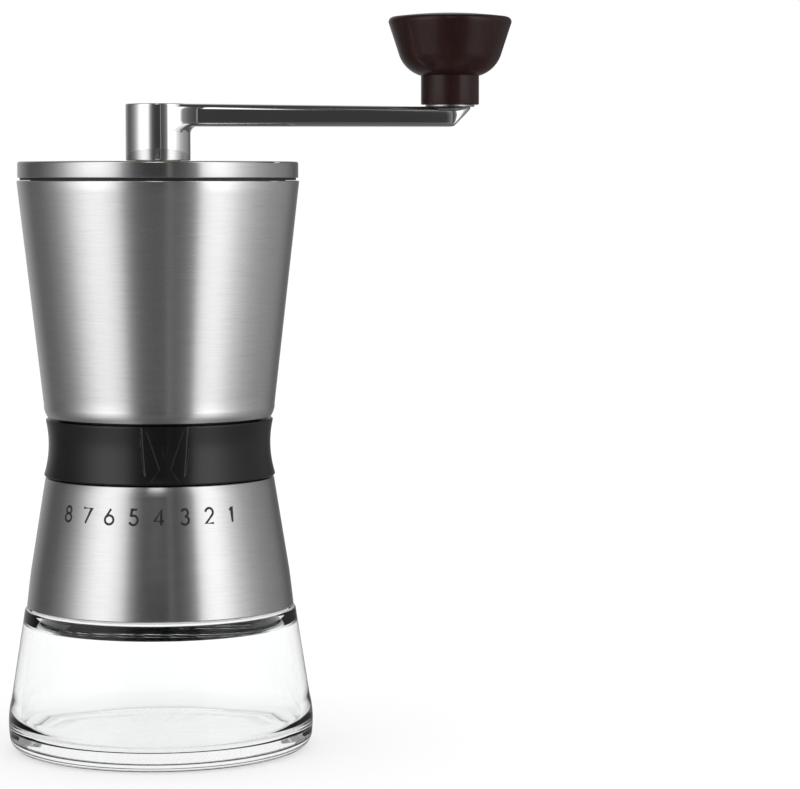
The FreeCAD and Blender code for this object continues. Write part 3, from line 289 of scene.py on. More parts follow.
def machined_steel():
    """Turned steel of the shaft, pins, screws and springs."""
    material = new_material("machined_steel", Metallic=1.0)
    tree = material.node_tree
    marks = noise(tree, turned_place(tree, 3.0, 5000.0), detail=3.0)
    colour = ramp(tree, marks, [(0.3, (0.46, 0.46, 0.47)), (0.7, (0.62, 0.62, 0.62))])
    feed(material, Base_Color=colour, Roughness=spread(tree, marks, 0.25, 0.42),
         Normal=bump(tree, marks, 0.15, 0.00003))
    return material


def turned_brass():
    material = new_material("bearing_brass", Metallic=1.0)
    tree = material.node_tree
    marks = noise(tree, turned_place(tree, 3.0, 4000.0), detail=3.0)
    tarnish = noise(tree, object_place(tree), scale=240.0, detail=4.0)
    colour = ramp(tree, tarnish, [(0.35, (0.5, 0.34, 0.13)), (0.7, (0.74, 0.56, 0.28))])
    feed(material, Base_Color=colour, Roughness=spread(tree, marks, 0.24, 0.42),
         Normal=bump(tree, marks, 0.15, 0.00003))
    return material


def moulded_plastic(name, dark, light, rough, grain_size=2600.0, grain_depth=0.00006, strength=0.35):
    """Black moulded plastic: a fine spark-eroded grain and a faint flow unevenness."""
    material = new_material(name, IOR=1.5)
    tree = material.node_tree
    grain = noise(tree, object_place(tree), scale=grain_size, detail=2.0, roughness=0.5)
    flow = noise(tree, object_place(tree), scale=70.0, detail=3.0)
    colour = ramp(tree, flow, [(0.3, dark), (0.7, light)])
    roughness = maths(tree, "ADD", spread(tree, flow, *rough), spread(tree, grain, -0.05, 0.05))
    feed(material, Base_Color=colour, Roughness=roughness, Normal=bump(tree, grain, strength, grain_depth))
    return material


def silicone():
    material = new_material("silicone", IOR=1.41, Subsurface_Weight=0.3, Subsurface_Scale=0.002)
    tree = material.node_tree
    dust = noise(tree, object_place(tree), scale=900.0, detail=4.0)
    colour = ramp(tree, dust, [(0.35, (0.62, 0.63, 0.64)), (0.7, (0.78, 0.79, 0.79))])
    feed(material, Base_Color=colour, Roughness=spread(tree, dust, 0.45, 0.65),
         Normal=bump(tree, dust, 0.1, 0.00003))
    return material


def burr_ceramic():
    material = new_material("burr_ceramic", IOR=1.6)
    tree = material.node_tree
    grit = noise(tree, object_place(tree), scale=1800.0, detail=5.0)
    tint = noise(tree, object_place(tree), scale=160.0, detail=3.0)
    colour = ramp(tree, tint, [(0.3, (0.76, 0.74, 0.69)), (0.7, (0.88, 0.87, 0.83))])
    feed(material, Base_Color=colour, Roughness=spread(tree, grit, 0.35, 0.6),
         Normal=bump(tree, grit, 0.25, 0.00004))
    return material


def clear_glass():
    """Pressed clear glass, with the slight waviness of a moulded wall."""
    material = new_material("clear_glass", IOR=1.34, Transmission_Weight=1.0, Roughness=0.0)
    tree = material.node_tree
    waves = noise(tree, object_place(tree, (1, 1, 0.5)), scale=60.0, detail=1.0)
    tint = noise(tree, object_place(tree), scale=20.0, detail=1.0)
    colour = ramp(tree, tint, [(0.3, (0.975, 0.985, 0.985)), (0.7, (0.99, 0.995, 0.995))])
    feed(material, Base_Color=colour, Normal=bump(tree, waves, 0.08, 0.0003))
    return material


def knob_wood():
    """Dark stained close-grained wood under a satin lacquer, the grain running up the knob."""
    material = new_material("knob_brown", IOR=1.27, Coat_Weight=0.26, Coat_Roughness=0.14)
    tree = material.node_tree
    grain = noise(tree, object_place(tree, (520, 520, 40)), detail=5.0, roughness=0.65, distortion=0.4)
    broad = noise(tree, object_place(tree, (90, 90, 12)), detail=3.0, distortion=0.8)
    pores = add(tree, "ShaderNodeTexVoronoi", [("Vector", object_place(tree, (1500, 1500, 110)))], Scale=1.0)
    pore = ramp(tree, pores.outputs["Distance"], [(0.05, 0.0), (0.2, 1.0)])
    figure = maths(tree, "ADD", maths(tree, "MULTIPLY", grain, 0.6), maths(tree, "MULTIPLY", broad, 0.4))
    colour = ramp(tree, figure, [(0.3, (0.013, 0.0034, 0.0031)), (0.5, (0.019, 0.0056, 0.005)),
                                 (0.72, (0.031, 0.0095, 0.0085))])
    feed(material, Base_Color=colour, Roughness=spread(tree, figure, 0.26, 0.38),
         Normal=bump(tree, maths(tree, "MULTIPLY", grain, pore), 0.12, 0.00004))
    return material


def scale_ink():
    """Black enamel of the scale's numbers."""
    material = new_material("scale_ink", IOR=1.5)
    tree = material.node_tree
    wear = noise(tree, object_place(tree), scale=700.0, detail=4.0)
    colour = ramp(tree, wear, [(0.35, (0.008, 0.008, 0.009)), (0.75, (0.02, 0.02, 0.02))])
    feed(material, Base_Color=colour, Roughness=spread(tree, wear, 0.35, 0.55))
    return material


STEEL = brushed_steel("brushed_steel", 0.68, (0.22, 0.3))
# The hopper is the skirt's steel painted lighter, a painted brightening that makes up for the dimmer lower
# light its surface reflects.
HOPPER_STEEL_PAINTED_LIGHT = brushed_steel("hopper_steel_painted_light", 0.86, (0.22, 0.3))
LID_STEEL = brushed_steel("lid_steel", 0.68, (0.16, 0.22))
CHROME = mirror_chrome()
TURNED = machined_steel()
BRASS = turned_brass()
RING_BLACK = moulded_plastic("ring_black", (0.004, 0.004, 0.0042), (0.007, 0.007, 0.0072), (0.17, 0.22),
                             grain_depth=0.00002, strength=0.15)
PLASTIC = moulded_plastic("black_plastic", (0.011, 0.011, 0.012), (0.017, 0.017, 0.018), (0.38, 0.5))
SILICONE = silicone()
CERAMIC = burr_ceramic()
GLASS = clear_glass()
WOOD = knob_wood()
INK = scale_ink()
BY_SLOT = {"brushed_steel": STEEL, "crank_chrome": CHROME, "machined_steel": TURNED, "bearing_brass": BRASS,
           "ring_black": RING_BLACK, "black_plastic": PLASTIC, "silicone": SILICONE, "burr_ceramic": CERAMIC,
           "clear_glass": GLASS, "knob_brown": WOOD}


def paint_cad_nodes():
    """Gives each CAD node the material of its slot in the record."""
    for part in frame["record"]["subparts"]:
        mesh = NODES[part["node"]].data
        mesh.materials.clear()
        mesh.materials.append(BY_SLOT[part["material_slot"]])


# ---- glass jar ------------------------------------------------------------------------------------
def glass_jar():
    radius, _, top = reach("glass_jar")
    heel = 4.2 * MM
    belly_z = 7.4 * MM
    wall_foot = (40.25 * MM, 13.9 * MM)
    shoulder = (36.55 * MM, 38.4 * MM)
    wall = 2.8 * MM
    floor = 4.6 * MM
    bore = 28.1 * MM
    neck = 31.1 * MM
    heel_x = radius - 0.2 * MM - heel
    slope = (wall_foot[0] - shoulder[0]) / (shoulder[1] - wall_foot[1])
    inner_top_z = 33.7 * MM
    inner_top = (shoulder[0] + slope * (shoulder[1] - inner_top_z) - wall, inner_top_z)
    inner_low_z = floor + heel + 1.5 * MM
    inner_low = (shoulder[0] + slope * (shoulder[1] - inner_low_z) - wall, inner_low_z)
    inner_foot = (inner_low[0] - heel - 0.6 * MM, floor)
    outside = [(0, 0), (heel_x * 0.5, 0)]
    outside += arc_points((heel_x, heel), heel, -90, 0, 14)
    outside += arc_through((heel_x + heel, heel), (radius, belly_z), wall_foot, 16)[1:]
    edge = 0.9 * MM
    outside += [(wall_foot[0] + (shoulder[0] - wall_foot[0]) * k / 12,
                 wall_foot[1] + (shoulder[1] - edge - wall_foot[1]) * k / 12) for k in range(1, 12)]
    outside += arc_points((shoulder[0] - edge, shoulder[1] - edge), edge, 9, 90, 8)
    neck_foot = 0.5 * MM
    outside += arc_points((neck + neck_foot, shoulder[1] + neck_foot), neck_foot, 270, 180, 5)
    rim = 1.2 * MM
    steps = 60
    outside += [(neck, shoulder[1] + neck_foot + (top - rim - shoulder[1] - neck_foot) * k / steps)
                for k in range(1, steps)]
    outside += arc_points((neck - rim, top - rim), rim, 0, 90, 8)
    outside += arc_points((bore + rim, top - rim), rim, 90, 180, 8)
    throat_mid = ((inner_top[0] + bore) / 2 + 0.9 * MM, inner_top_z + 2.3 * MM)
    inside = arc_through((bore, shoulder[1] + 1.0 * MM), throat_mid, inner_top, 18)
    inside += [(inner_top[0] + (inner_low[0] - inner_top[0]) * k / 12,
                inner_top[1] + (inner_low[1] - inner_top[1]) * k / 12) for k in range(1, 12)]
    inside += arc_through(inner_low, (inner_low[0] - 1.35 * MM, floor + 1.6 * MM), inner_foot, 14)
    inside += [(inner_foot[0] * 0.5, floor), (0, floor)]
    bm = lathe(outside + inside, closed=False, shift=jar_thread(neck, shoulder[1], top - rim))
    return finish_mesh("jar_glass", bm, GLASS, "jar", ["glass_jar"])


def jar_thread(neck, shoulder_z, neck_top):
    """Moves the neck's outside points out along one and a quarter turns of a rounded thread."""
    pitch, depth, half_width, turns, start = 4.0 * MM, 1.0 * MM, 0.95 * MM, 1.25, 3.8 * MM
    fade = 0.06

    def shift(r, z, angle):
        if abs(r - neck) > 1e-6 or not shoulder_z < z < neck_top:
            return r, z
        turn = (angle / math.tau) % 1.0
        rise = 0.0
        for lap in range(2):
            along = turn + lap
            if along > turns:
                break
            middle = shoulder_z + start + pitch * along
            across = max(0.0, 1 - abs(z - middle) / half_width)
            ends = min(1.0, along / fade, (turns - along) / fade)
            rise = max(rise, min(1.0, across * 1.9) * max(0.0, ends))
        return r + depth * rise, z
    return shift


# ---- steel shells -----------------------------------------------------------------------------------
SHEET = 0.8 * MM
FLANGE_R = 26.85 * MM
SKIRT_KNEE = 34.85 * MM
SKIRT_TOP = 30.7 * MM
SKIRT_KNEE_RISE = 9.2 * MM


def skirt():
    radius, low, high = reach("skirt_shell")
    knee_z = low + SKIRT_KNEE_RISE
    knee, top = SKIRT_KNEE, SKIRT_TOP
    hem_mid = (knee + (radius - knee) * 0.58, low + (knee_z - low) * 0.45)
    hem = arc_through((radius, low + 0.25 * MM), hem_mid, (knee, knee_z), 12)
    edge = 0.32 * MM
    slope = (knee - top) / (high - knee_z)
    outline = hem[:-1]
    outline += [(knee - slope * (high - edge - knee_z) * k / 10, knee_z + (high - edge - knee_z) * k / 10)
                for k in range(11)]
    outline += arc_points((top - edge, high - edge), edge, 20, 90, 5)
    outline += [(FLANGE_R, high), (FLANGE_R, high - SHEET), (top + slope * SHEET - SHEET, high - SHEET)]
    outline += [(knee - SHEET, knee_z)]
    outline += [(r - SHEET, z) for r, z in reversed(hem[:-1])]
    outline += [(radius - SHEET + 0.2 * MM, low), (radius - 0.25 * MM, low)]
    return finish_mesh("skirt_steel", lathe(outline), STEEL, "housing", ["skirt_shell"])


def hopper():
    radius, low, high = reach("hopper_shell")
    bottom, hem_r, hem_z = 30.2 * MM, 31.0 * MM, low + 3.4 * MM
    edge = 0.32 * MM
    hem_mid = (bottom + (hem_r - bottom) * 0.66, low + (hem_z - low) * 0.42)
    outline = [(FLANGE_R, low)]
    outline += arc_points((bottom - edge, low + edge), edge, 270, 340, 4)
    outline += arc_through((bottom, low + edge), hem_mid, (hem_r, hem_z), 10)[1:]
    outline += [(hem_r + (radius - hem_r) * k / 20, hem_z + (high - edge - hem_z) * k / 20)
                for k in range(1, 20)]
    outline += arc_points((radius - edge, high - edge), edge, 0, 90, 5)
    outline += arc_points((radius - SHEET + 0.2 * MM, high - 0.2 * MM), 0.2 * MM, 90, 180, 3)
    outline += [(hem_r - SHEET, hem_z), (bottom - SHEET, low + SHEET), (FLANGE_R, low + SHEET)]
    return finish_mesh("hopper_steel_painted_light", lathe(outline), HOPPER_STEEL_PAINTED_LIGHT, "housing",
                       ["hopper_shell"])


def lid():
    radius, low, high = reach("lid_cap")
    sheet = 0.9 * MM
    bore = 8.77 * MM
    outline = rounded_outline([
        (bore, high - sheet, 0), (radius - sheet, high - sheet, 0.3 * MM), (radius - sheet, low, 0.2 * MM),
        (radius, low, 0.25 * MM), (radius, high, 0.55 * MM), (bore, high, 0.15 * MM)])
    return finish_mesh("lid_steel", lathe(outline), LID_STEEL, "lid", ["lid_cap"])


# ---- grind ring -------------------------------------------------------------------------------------
POINTER_TURN = math.radians(2.4)  # the pointer stands a little to the right of the front
POINTER_PROUD = 0.7 * MM
RING_WAIST = 29.87 * MM


def pointer_relief(across, up):
    """Radius of the pointer's boss at a place on the ring, or 0 beside it.

    across is the distance from the pointer's middle; up runs from 0 at the ring's bottom to 1 at its top.
    """
    half = (4.75 + 1.1 * up) * MM
    edge = 0.8 * MM
    share = min(1.0, max(0.0, (half + edge - abs(across)) / edge))
    if share <= 0:
        return 0.0
    return RING_WAIST - 0.1 * MM + (POINTER_PROUD + 0.1 * MM) * math.sin(share * math.pi / 2)


def ring_side():
    """(low z, high z, radius at the bottom, radius at the top, edge rounding, points up the hollow side)."""
    _, low, high = reach("adjuster_ring")
    bottom, top = 31.05 * MM, 30.5 * MM
    edge = 0.4 * MM
    side = arc_through((bottom, low + edge), (RING_WAIST, low + 10.6 * MM), (top, high - edge), 72)
    return low, high, bottom, top, edge, side


def grind_ring():
    bore = 26.85 * MM
    low, high, bottom, top, edge, side = ring_side()
    outline = [(bore, low)] + arc_points((bottom - edge, low + edge), edge, 270, 352, 4) + side[1:-1]
    outline += arc_points((top - edge, high - edge), edge, 8, 90, 4) + [(bore, high)]

    def shift(r, z, angle):
        if r < bore + 2 * MM or not low + edge * 0.5 < z < high - edge * 0.5:
            return r, z
        turn = (angle - POINTER_TURN + math.pi * 1.5) % math.tau - math.pi
        if abs(turn) > 0.5:
            return r, z
        return max(r, pointer_relief(r * math.sin(turn), (z - low) / (high - low))), z

    bm = lathe(outline, around=1536, shift=shift)
    return finish_mesh("grind_ring", bm, RING_BLACK, "ring", ["adjuster_ring"])


def pointer_lines():
    """The raised edges of the pointer's hourglass, which leads down to the number of the setting."""
    low, high, _, _, _, side = ring_side()
    waist = (1.42 * MM, low + 3.95 * MM)
    upper = (4.72 * MM, high - 1.25 * MM)
    lower = (3.6 * MM, low + 0.75 * MM)
    inner = [(-0.9 * MM, high - 4.9 * MM), (-0.25 * MM, high - 7.9 * MM)]
    fold_half = 0.2 * MM
    inner_half, inner_proud = 0.14 * MM, 0.06 * MM
    bm = bmesh.new()

    def place(u, v):
        nearest = min(side, key=lambda point: abs(point[1] - v))[0]
        r = max(nearest, RING_WAIST + POINTER_PROUD)
        angle = u / r - math.pi / 2 + POINTER_TURN
        outward = Vector((math.cos(angle), math.sin(angle), 0))
        return Vector((r * math.cos(angle), r * math.sin(angle), v)), outward

    for way in (-1, 1):
        for start, end, proud in ((upper, waist, 0.14 * MM), (waist, lower, 0.08 * MM)):
            points = [(way * (start[0] + (end[0] - start[0]) * k / 12),
                       start[1] + (end[1] - start[1]) * k / 12) for k in range(13)]
            ink_stroke(bm, points, place, fold_half, proud)
        points = [(way * -u, v) for u, v in inner]
        ink_stroke(bm, points, place, inner_half, inner_proud)
    return finish_mesh("pointer_lines", bm, RING_BLACK, "ring")


# ---- scale numbers ----------------------------------------------------------------------------------
def stroke_arc(cx, cy, rx, ry, start, end, steps=14):
    return [(cx + rx * math.cos(math.radians(start + (end - start) * k / steps)),
             cy + ry * math.sin(math.radians(start + (end - start) * k / steps))) for k in range(steps + 1)]


def digit_strokes(digit):
    """The strokes of a number of plain thin lettering, one unit tall."""
    if digit == 1:
        return [[(-0.14, 0.78), (0.04, 0.98), (0.04, 0.0)]]
    if digit == 2:
        hook = stroke_arc(0, 0.72, 0.26, 0.27, 172, -38)
        return [hook + [(-0.27, 0.02), (0.29, 0.02)]]
    if digit == 3:
        upper = stroke_arc(-0.01, 0.745, 0.21, 0.235, 158, -90)
        lower = stroke_arc(-0.01, 0.265, 0.26, 0.26, 90, -158)
        return [upper, lower]
    if digit == 4:
        return [[(0.13, 0.0), (0.13, 0.98), (-0.3, 0.25), (0.3, 0.25)]]
    if digit == 5:
        bowl = stroke_arc(-0.02, 0.3, 0.28, 0.3, 118, -156, 20)
        return [[(0.22, 0.98), (-0.12, 0.98), (-0.19, 0.54)] + bowl]
    if digit == 6:
        ring = stroke_arc(0, 0.285, 0.3, 0.285, 0, 360, 24)
        return [ring, [(0.1, 0.98), (-0.255, 0.43)]]
    if digit == 7:
        return [[(-0.32, 0.96), (0.32, 0.96), (-0.12, 0.0)]]
    return [stroke_arc(0, 0.74, 0.23, 0.23, 0, 360, 24), stroke_arc(0, 0.26, 0.29, 0.26, 0, 360, 24)]


def ink_stroke(bm, points, place, half_width, half_depth):
    """A flat-oval bead along a stroke; place(u, v) gives a point on the steel and its outward normal."""
    ring_count = 10
    closed = math.dist(points[0], points[-1]) < 1e-6
    path = points[:-1] if closed else points
    rings = []
    for index, (u, v) in enumerate(path):
        before = path[index - 1] if index or closed else path[index]
        after = path[(index + 1) % len(path)] if index < len(path) - 1 or closed else path[index]
        along = Vector((after[0] - before[0], after[1] - before[1])).normalized()
        if 0 < index < len(path) - 1 or closed:
            first = Vector((u - before[0], v - before[1])).normalized()
            widen = 1 / max(0.55, abs(along.dot(first)))
        else:
            widen = 1.0
        ring = []
        for k in range(ring_count):
            angle = math.tau * k / ring_count
            off = half_width * widen * math.cos(angle)
            point, normal = place(u - along.y * off, v + along.x * off)
            ring.append(bm.verts.new(point + normal * half_depth * math.sin(angle)))
        rings.append(ring)
    count = len(rings) if closed else len(rings) - 1
    for index in range(count):
        low, high = rings[index], rings[(index + 1) % len(rings)]
        for k in range(ring_count):
            n = (k + 1) % ring_count
            bm.faces.new((low[k], low[n], high[n], high[k]))
    if not closed:
        bm.faces.new(rings[0])
        bm.faces.new(rings[-1])


def scale_numbers():
    """The numbers 8 to 1 round the top of the skirt, read from the viewer's left to right."""
    _, low, high = reach("skirt_shell")
    height = 4.05 * MM
    middle_z = low + 27.1 * MM
    knee_z = low + SKIRT_KNEE_RISE
    slope = (SKIRT_KNEE - SKIRT_TOP) / (high - knee_z)
    step = math.radians(12.0)
    lean = math.radians(-0.45)
    ink_half, ink_proud = 0.31 * MM, 0.03 * MM
    bm = bmesh.new()
    for digit in range(1, 9):
        centre = lean - step * (digit - 4)

        def place(u, v):
            z = middle_z + v - height / 2
            r = SKIRT_KNEE - slope * (z - knee_z)
            angle = centre + u / r - math.pi / 2
            outward = Vector((math.cos(angle), math.sin(angle), slope)).normalized()
            return Vector((r * math.cos(angle), r * math.sin(angle), z)), outward

        for stroke in digit_strokes(digit):
            scaled = [(u * height, v * height) for u, v in stroke]
            ink_stroke(bm, scaled, place, ink_half, ink_proud)
    return finish_mesh("scale_numbers", bm, INK, "housing")


# ---- crank ------------------------------------------------------------------------------------------
HUB_R = 8.65 * MM
CRANK_RADIUS = 78.5 * MM


def crank_hub():
    low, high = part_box("crank_arm")
    stem = 6.02 * MM
    stem_top = low.z + 11.5 * MM
    outline = [(0, stem_top), (stem, stem_top), (stem, low.z)]
    outline += arc_points((HUB_R - 0.3 * MM, low.z + 0.3 * MM), 0.3 * MM, 270, 360, 4)
    outline += arc_points((HUB_R - 0.35 * MM, high.z - 0.35 * MM), 0.35 * MM, 0, 90, 5)
    outline += [(0, high.z)]
    return lathe(outline, closed=True, around=192)


def arm_section(half, low, high, bevel_top, bevel_low, bulge):
    """Half outline of the arm's cross-section as (y, z) points, from the top's middle to the bottom's."""
    top_b = min(bevel_top, half * 0.8, (high - low) * 0.45)
    low_b = min(bevel_low, half * 0.8, (high - low) * 0.45)
    points = [(0, high), (max(half - top_b, 0) * 0.5, high)]
    points += [(half - top_b + top_b * math.sin(a), high - top_b + top_b * math.cos(a))
               for a in (math.pi / 2 * k / 6 for k in range(7))]
    span = high - low - top_b - low_b
    points += [(half + bulge * math.sin(math.pi * k / 8), high - top_b - span * k / 8) for k in range(1, 8)]
    points += [(half - low_b + low_b * math.cos(a), low + low_b - low_b * math.sin(a))
               for a in (math.pi / 2 * k / 6 for k in range(7))]
    points += [(max(half - low_b, 0) * 0.5, low), (0, low)]
    return points


def crank_arm():
    _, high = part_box("crank_arm")
    top = high.z - 0.04 * MM     # just under the hub's top, so that the two faces never meet
    thick_hub, thick_tip, fall = 5.95 * MM, 5.3 * MM, 0.6 * MM
    half_hub, half_tip = 6.1 * MM, 5.5 * MM
    root, flare = 2.0 * MM, 20.0 * MM
    seat_x = CRANK_RADIUS - 7.82 * MM
    tip_x = CRANK_RADIUS + half_tip
    chamfer_x = tip_x - 4.9 * MM
    hub_low = top - thick_hub
    tip_low = top - fall - thick_tip
    root_x = HUB_R + root
    flare_x = math.sqrt((HUB_R + flare) ** 2 - (half_hub + flare) ** 2)

    def half_width(x):
        straight = half_hub + (half_tip - half_hub) * (x - flare_x) / (CRANK_RADIUS - flare_x)
        if x < flare_x:
            return half_hub + flare - math.sqrt(flare ** 2 - (flare_x - x) ** 2)
        if x > CRANK_RADIUS:
            return math.sqrt(max(0.0, half_tip ** 2 - (x - CRANK_RADIUS) ** 2))
        return straight

    def heights(x):
        share = max(0.0, (x - root_x) / (seat_x - root_x))
        high_z = top - fall * min(1.0, share)
        low_z = hub_low + (tip_low - hub_low) * max(0.0, (x - root_x) / (chamfer_x - root_x))
        if x > chamfer_x:
            low_z = tip_low + (x - chamfer_x) * (thick_tip - 0.5 * MM) / (tip_x - chamfer_x)
        return low_z, high_z

    start_x = 3.7 * MM
    bevel_top, bevel_low, bulge, root_band = 1.8 * MM, 1.0 * MM, 0.04 * MM, 1.2 * MM
    places = [start_x + (root_x - start_x) * k / 40 for k in range(40)]
    places += [root_x + (CRANK_RADIUS - root_x) * k / 40 for k in range(40)]
    places += [CRANK_RADIUS + half_tip * math.sin(math.pi / 2 * k / 24) for k in range(24)]
    bm = bmesh.new()
    rings = []
    for x in places:
        low_z, high_z = heights(x)
        half = arm_section(half_width(x), low_z, high_z, bevel_top, bevel_low, bulge)
        ring = []
        for y, z in half + [(-y, z) for y, z in reversed(half[1:-1])]:
            gap = root_x - math.hypot(x, y)
            if z < low_z + root_band and gap > 0:
                z -= root - math.sqrt(max(0.0, root ** 2 - min(root, gap) ** 2))
            ring.append(bm.verts.new((x, y, z)))
        rings.append(ring)
    for a, b in zip(rings, rings[1:]):
        for k in range(len(a)):
            n = (k + 1) % len(a)
            bm.faces.new((a[k], a[n], b[n], b[k]))
    bm.faces.new(rings[0])
    tip = bm.verts.new((tip_x, 0, (heights(tip_x)[0] + heights(tip_x)[1]) / 2))
    for k in range(len(rings[-1])):
        bm.faces.new((rings[-1][k], rings[-1][(k + 1) % len(rings[-1])], tip))
    return bm


def crank():
    hub = finish_mesh("crank_hub", crank_hub(), CHROME, "crank", ["crank_arm"])
    arm = finish_mesh("crank_bar", crank_arm(), CHROME, "crank", ["crank_arm"])
    return hub, arm


# ---- knob -------------------------------------------------------------------------------------------
RIM_INSET = 1.75 * MM


def rim_rounding(flank_top, dome, rim_r):
    """The rounded rim between the knob's flank and its dome."""
    inward = dome(rim_r - RIM_INSET)
    middle = (flank_top[0] - 0.22 * MM, inward[1] - 0.62 * MM)
    return arc_through(flank_top, middle, inward, 10)


def knob():
    low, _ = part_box("knob_body")
    _, plug_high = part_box("knob_plug")
    rim_r, crown = 16.9 * MM, 1.23 * MM
    neck = 7.82 * MM
    plug = 6.5 * MM
    top = plug_high.z
    bottom = low.z
    crown_r = (rim_r ** 2 + crown ** 2) / (2 * crown)
    neck_top = (neck, bottom + 7.75 * MM)
    cheek = (12.2 * MM, bottom + 10.6 * MM)
    cup_r, cup_z = 13.9 * MM, bottom + 13.9 * MM
    flank_top = (rim_r - 0.35 * MM, top - crown - 1.3 * MM)

    def dome(r):
        return (r, top - crown_r + math.sqrt(crown_r ** 2 - r ** 2))

    bore = 4.47 * MM
    seam = 0.12 * MM
    recess_z = dome(plug)[1] - 2.4 * MM
    outline = [(bore, bottom)]
    outline += arc_points((neck - 0.25 * MM, bottom + 0.25 * MM), 0.25 * MM, 270, 360, 3)
    outline += arc_through(neck_top, cheek, (cup_r, cup_z), 20)
    outline += [(cup_r + (flank_top[0] - cup_r) * k / 8, cup_z + (flank_top[1] - cup_z) * k / 8)
                for k in range(1, 8)]
    outline += rim_rounding(flank_top, dome, rim_r)
    outline += [dome(plug + (rim_r - RIM_INSET - plug) * (1 - k / 10)) for k in range(1, 11)]
    outline += [(plug, recess_z), (bore, recess_z)]
    centre = (CRANK_RADIUS, 0.0)
    body = finish_mesh("knob_turned", lathe(outline, centre=centre, around=192), WOOD, "knob",
                       ["knob_body"])
    cap = [(0, dome(plug)[1] - 2.3 * MM), (plug - seam, dome(plug)[1] - 2.3 * MM)]
    cap += [(plug - seam, dome(plug)[1] - 0.25 * MM), (plug - seam - 0.25 * MM, dome(plug)[1])]
    cap += [dome((plug - seam) * (1 - k / 8) * 0.93) for k in range(1, 9)]
    plug_piece = finish_mesh("knob_button", lathe(cap, closed=False, centre=centre, around=128), WOOD, "knob",
                             ["knob_plug"])
    return body, plug_piece


# ---- stage, light and camera --------------------------------------------------------------------------
FLOOR_RADIUS = 6.0


def stage_floor():
    bm = bmesh.new()
    bmesh.ops.create_circle(bm, cap_ends=True, radius=FLOOR_RADIUS, segments=96)
    mesh = bpy.data.meshes.new("floor")
    bm.to_mesh(mesh)
    bm.free()
    floor = bpy.data.objects.new("floor", mesh)
    SCENE.collection.objects.link(floor)
    material = new_material("floor_white", Base_Color=(0.5, 0.5, 0.5, 1), Roughness=0.9,
                            Emission_Color=(1, 1, 1, 1), Emission_Strength=0.52)
    floor.data.materials.append(material)
    floor.visible_glossy = False
    return floor


# brightness by direction round the mill, in degrees from the front towards the viewer's right
STUDIO = [(-180, 0.55), (-150, 0.3), (-130, 0.11), (-112, 0.13), (-96, 0.26), (-84, 0.52), (-72, 1.02),
          (-60, 1.4), (-48, 1.44), (-40, 1.24), (-34, 0.98), (-28, 0.36), (-20, 0.11), (-10, 0.05),
          (7, 0.04), (8.3, 0.28), (9.6, 0.28), (10.6, 0.06), (22, 0.12), (32, 0.28), (35.5, 1.15),
          (44, 1.5), (54, 1.52), (64, 1.2), (72, 0.86), (88, 0.5), (105, 0.34), (130, 0.24),
          (148, 0.12), (162, 0.14), (172, 0.35), (180, 0.55)]
TABLE = 0.085            # what the table adds to the lower part
LOW_SHARE = 0.52         # how bright the studio's lower part is against its middle
CEILING = 0.05           # brightness straight up
FRONT_BOX = 1.5          # the softbox over the viewer's head
FILL = 1.1               # what matt surfaces receive from all round
THROUGH_GLASS = 0.93     # the backdrop seen through the jar


def window(tree, value, low, high, soft):
    """1 between low and high, fading to 0 over soft on either side."""
    rise = add(tree, "ShaderNodeMapRange", [("Value", value)], interpolation_type="SMOOTHSTEP",
               From_Min=low - soft, From_Max=low + soft).outputs["Result"]
    fall = add(tree, "ShaderNodeMapRange", [("Value", value)], interpolation_type="SMOOTHSTEP",
               From_Min=high - soft, From_Max=high + soft, To_Min=1.0, To_Max=0.0).outputs["Result"]
    return maths(tree, "MULTIPLY", rise, fall)


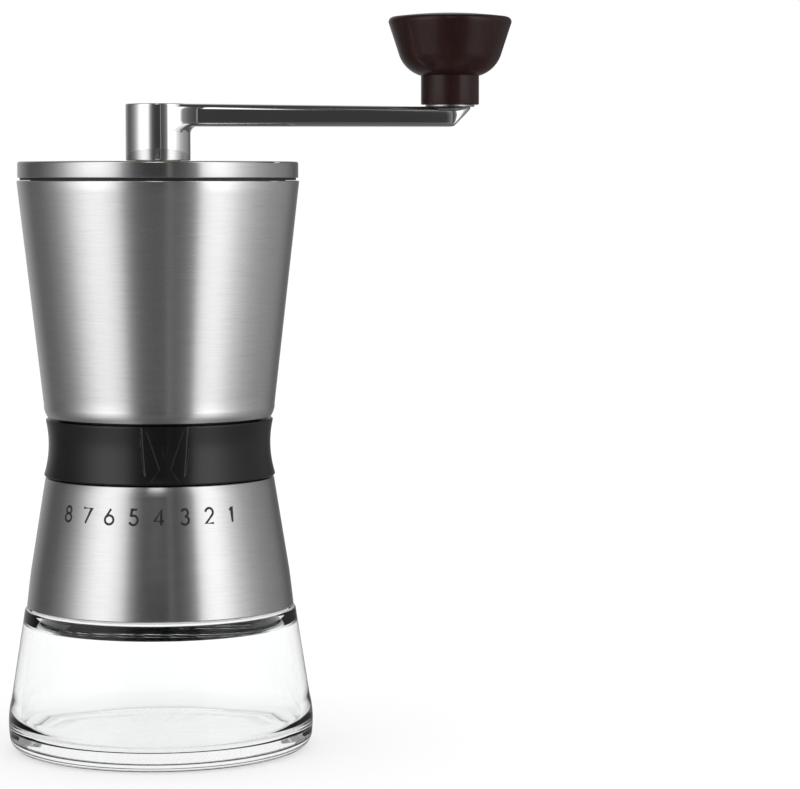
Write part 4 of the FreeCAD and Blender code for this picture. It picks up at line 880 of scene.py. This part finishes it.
def studio_world():
    """A studio of upright soft light strips, told by direction; the backdrop itself is plain white."""
    world = bpy.data.worlds.new("studio")
    SCENE.world = world
    world.use_nodes = True
    tree = world.node_tree
    tree.nodes.clear()
    way = add(tree, "ShaderNodeTexCoord").outputs["Generated"]
    parts = add(tree, "ShaderNodeSeparateXYZ", [("Vector", way)]).outputs
    turn = maths(tree, "ARCTAN2", parts["X"], maths(tree, "MULTIPLY", parts["Y"], -1.0))
    share = maths(tree, "ADD", maths(tree, "DIVIDE", turn, math.tau), 0.5)
    brightest = max(value for _, value in STUDIO)
    strips = ramp(tree, share, [((degrees + 180) / 360, value / brightest) for degrees, value in STUDIO])
    lower = add(tree, "ShaderNodeMapRange", [("Value", parts["Z"])], interpolation_type="SMOOTHSTEP",
                From_Min=-0.25, From_Max=-0.09, To_Min=LOW_SHARE * brightest, To_Max=brightest)
    table = add(tree, "ShaderNodeMapRange", [("Value", parts["Z"])], interpolation_type="SMOOTHSTEP",
                From_Min=-0.66, From_Max=-0.46, To_Min=0.3)
    bands = maths(tree, "MULTIPLY", strips, lower.outputs["Result"])
    bands = maths(tree, "MULTIPLY", bands, table.outputs["Result"])
    sheen = add(tree, "ShaderNodeMapRange", [("Value", parts["Z"])], interpolation_type="SMOOTHSTEP",
                From_Min=-0.25, From_Max=-0.09, To_Min=TABLE, To_Max=0.0)
    bands = maths(tree, "ADD", bands, sheen.outputs["Result"])
    top = add(tree, "ShaderNodeMapRange", [("Value", parts["Z"])], interpolation_type="SMOOTHSTEP",
              From_Min=0.78, From_Max=0.9).outputs["Result"]
    walls = add(tree, "ShaderNodeMix", [("Factor", top), ("A", bands)], data_type="FLOAT", B=CEILING)
    front = maths(tree, "MULTIPLY", window(tree, parts["Z"], 0.5, 0.84, 0.03),
                  window(tree, turn, math.radians(-12), math.radians(4.4), 0.012))
    glow = maths(tree, "ADD", walls.outputs["Result"], maths(tree, "MULTIPLY", front, FRONT_BOX))
    path = add(tree, "ShaderNodeLightPath").outputs
    through_glass = maths(tree, "GREATER_THAN", path["Transmission Depth"], 0.5)
    behind = add(tree, "ShaderNodeMix", [("Factor", through_glass), ("A", glow)],
                 data_type="FLOAT", B=THROUGH_GLASS)
    shown = add(tree, "ShaderNodeMix", [("Factor", path["Is Camera Ray"]), ("A", behind.outputs["Result"])],
                data_type="FLOAT", B=1.0)
    filled = add(tree, "ShaderNodeMix", [("Factor", path["Is Diffuse Ray"]), ("A", shown.outputs["Result"])],
                 data_type="FLOAT", B=FILL)
    background = add(tree, "ShaderNodeBackground", [("Color", filled.outputs["Result"])])
    output = add(tree, "ShaderNodeOutputWorld")
    tree.links.new(background.outputs["Background"], output.inputs["Surface"])


CAMERA_DISTANCE = 808.8 * MM
CAMERA_HEIGHT = 154.0 * MM
CAMERA_PITCH = 4.147     # degrees down
CAMERA_YAW = 4.594       # degrees to the right


def camera():
    data = bpy.data.cameras.new("camera")
    data.lens = 135.0
    data.sensor_width = 36.0
    data.clip_start = 0.01
    piece = bpy.data.objects.new("camera", data)
    SCENE.collection.objects.link(piece)
    piece.location = (0, -CAMERA_DISTANCE, CAMERA_HEIGHT)
    piece.rotation_euler = (math.radians(90 - CAMERA_PITCH), 0, math.radians(-CAMERA_YAW))
    SCENE.camera = piece


camera()
studio_world()
stage_floor()
paint_cad_nodes()
glass_jar()
skirt()
hopper()
lid()
grind_ring()
pointer_lines()
scale_numbers()
crank()
knob()
SCENE.view_settings.view_transform = "Standard"
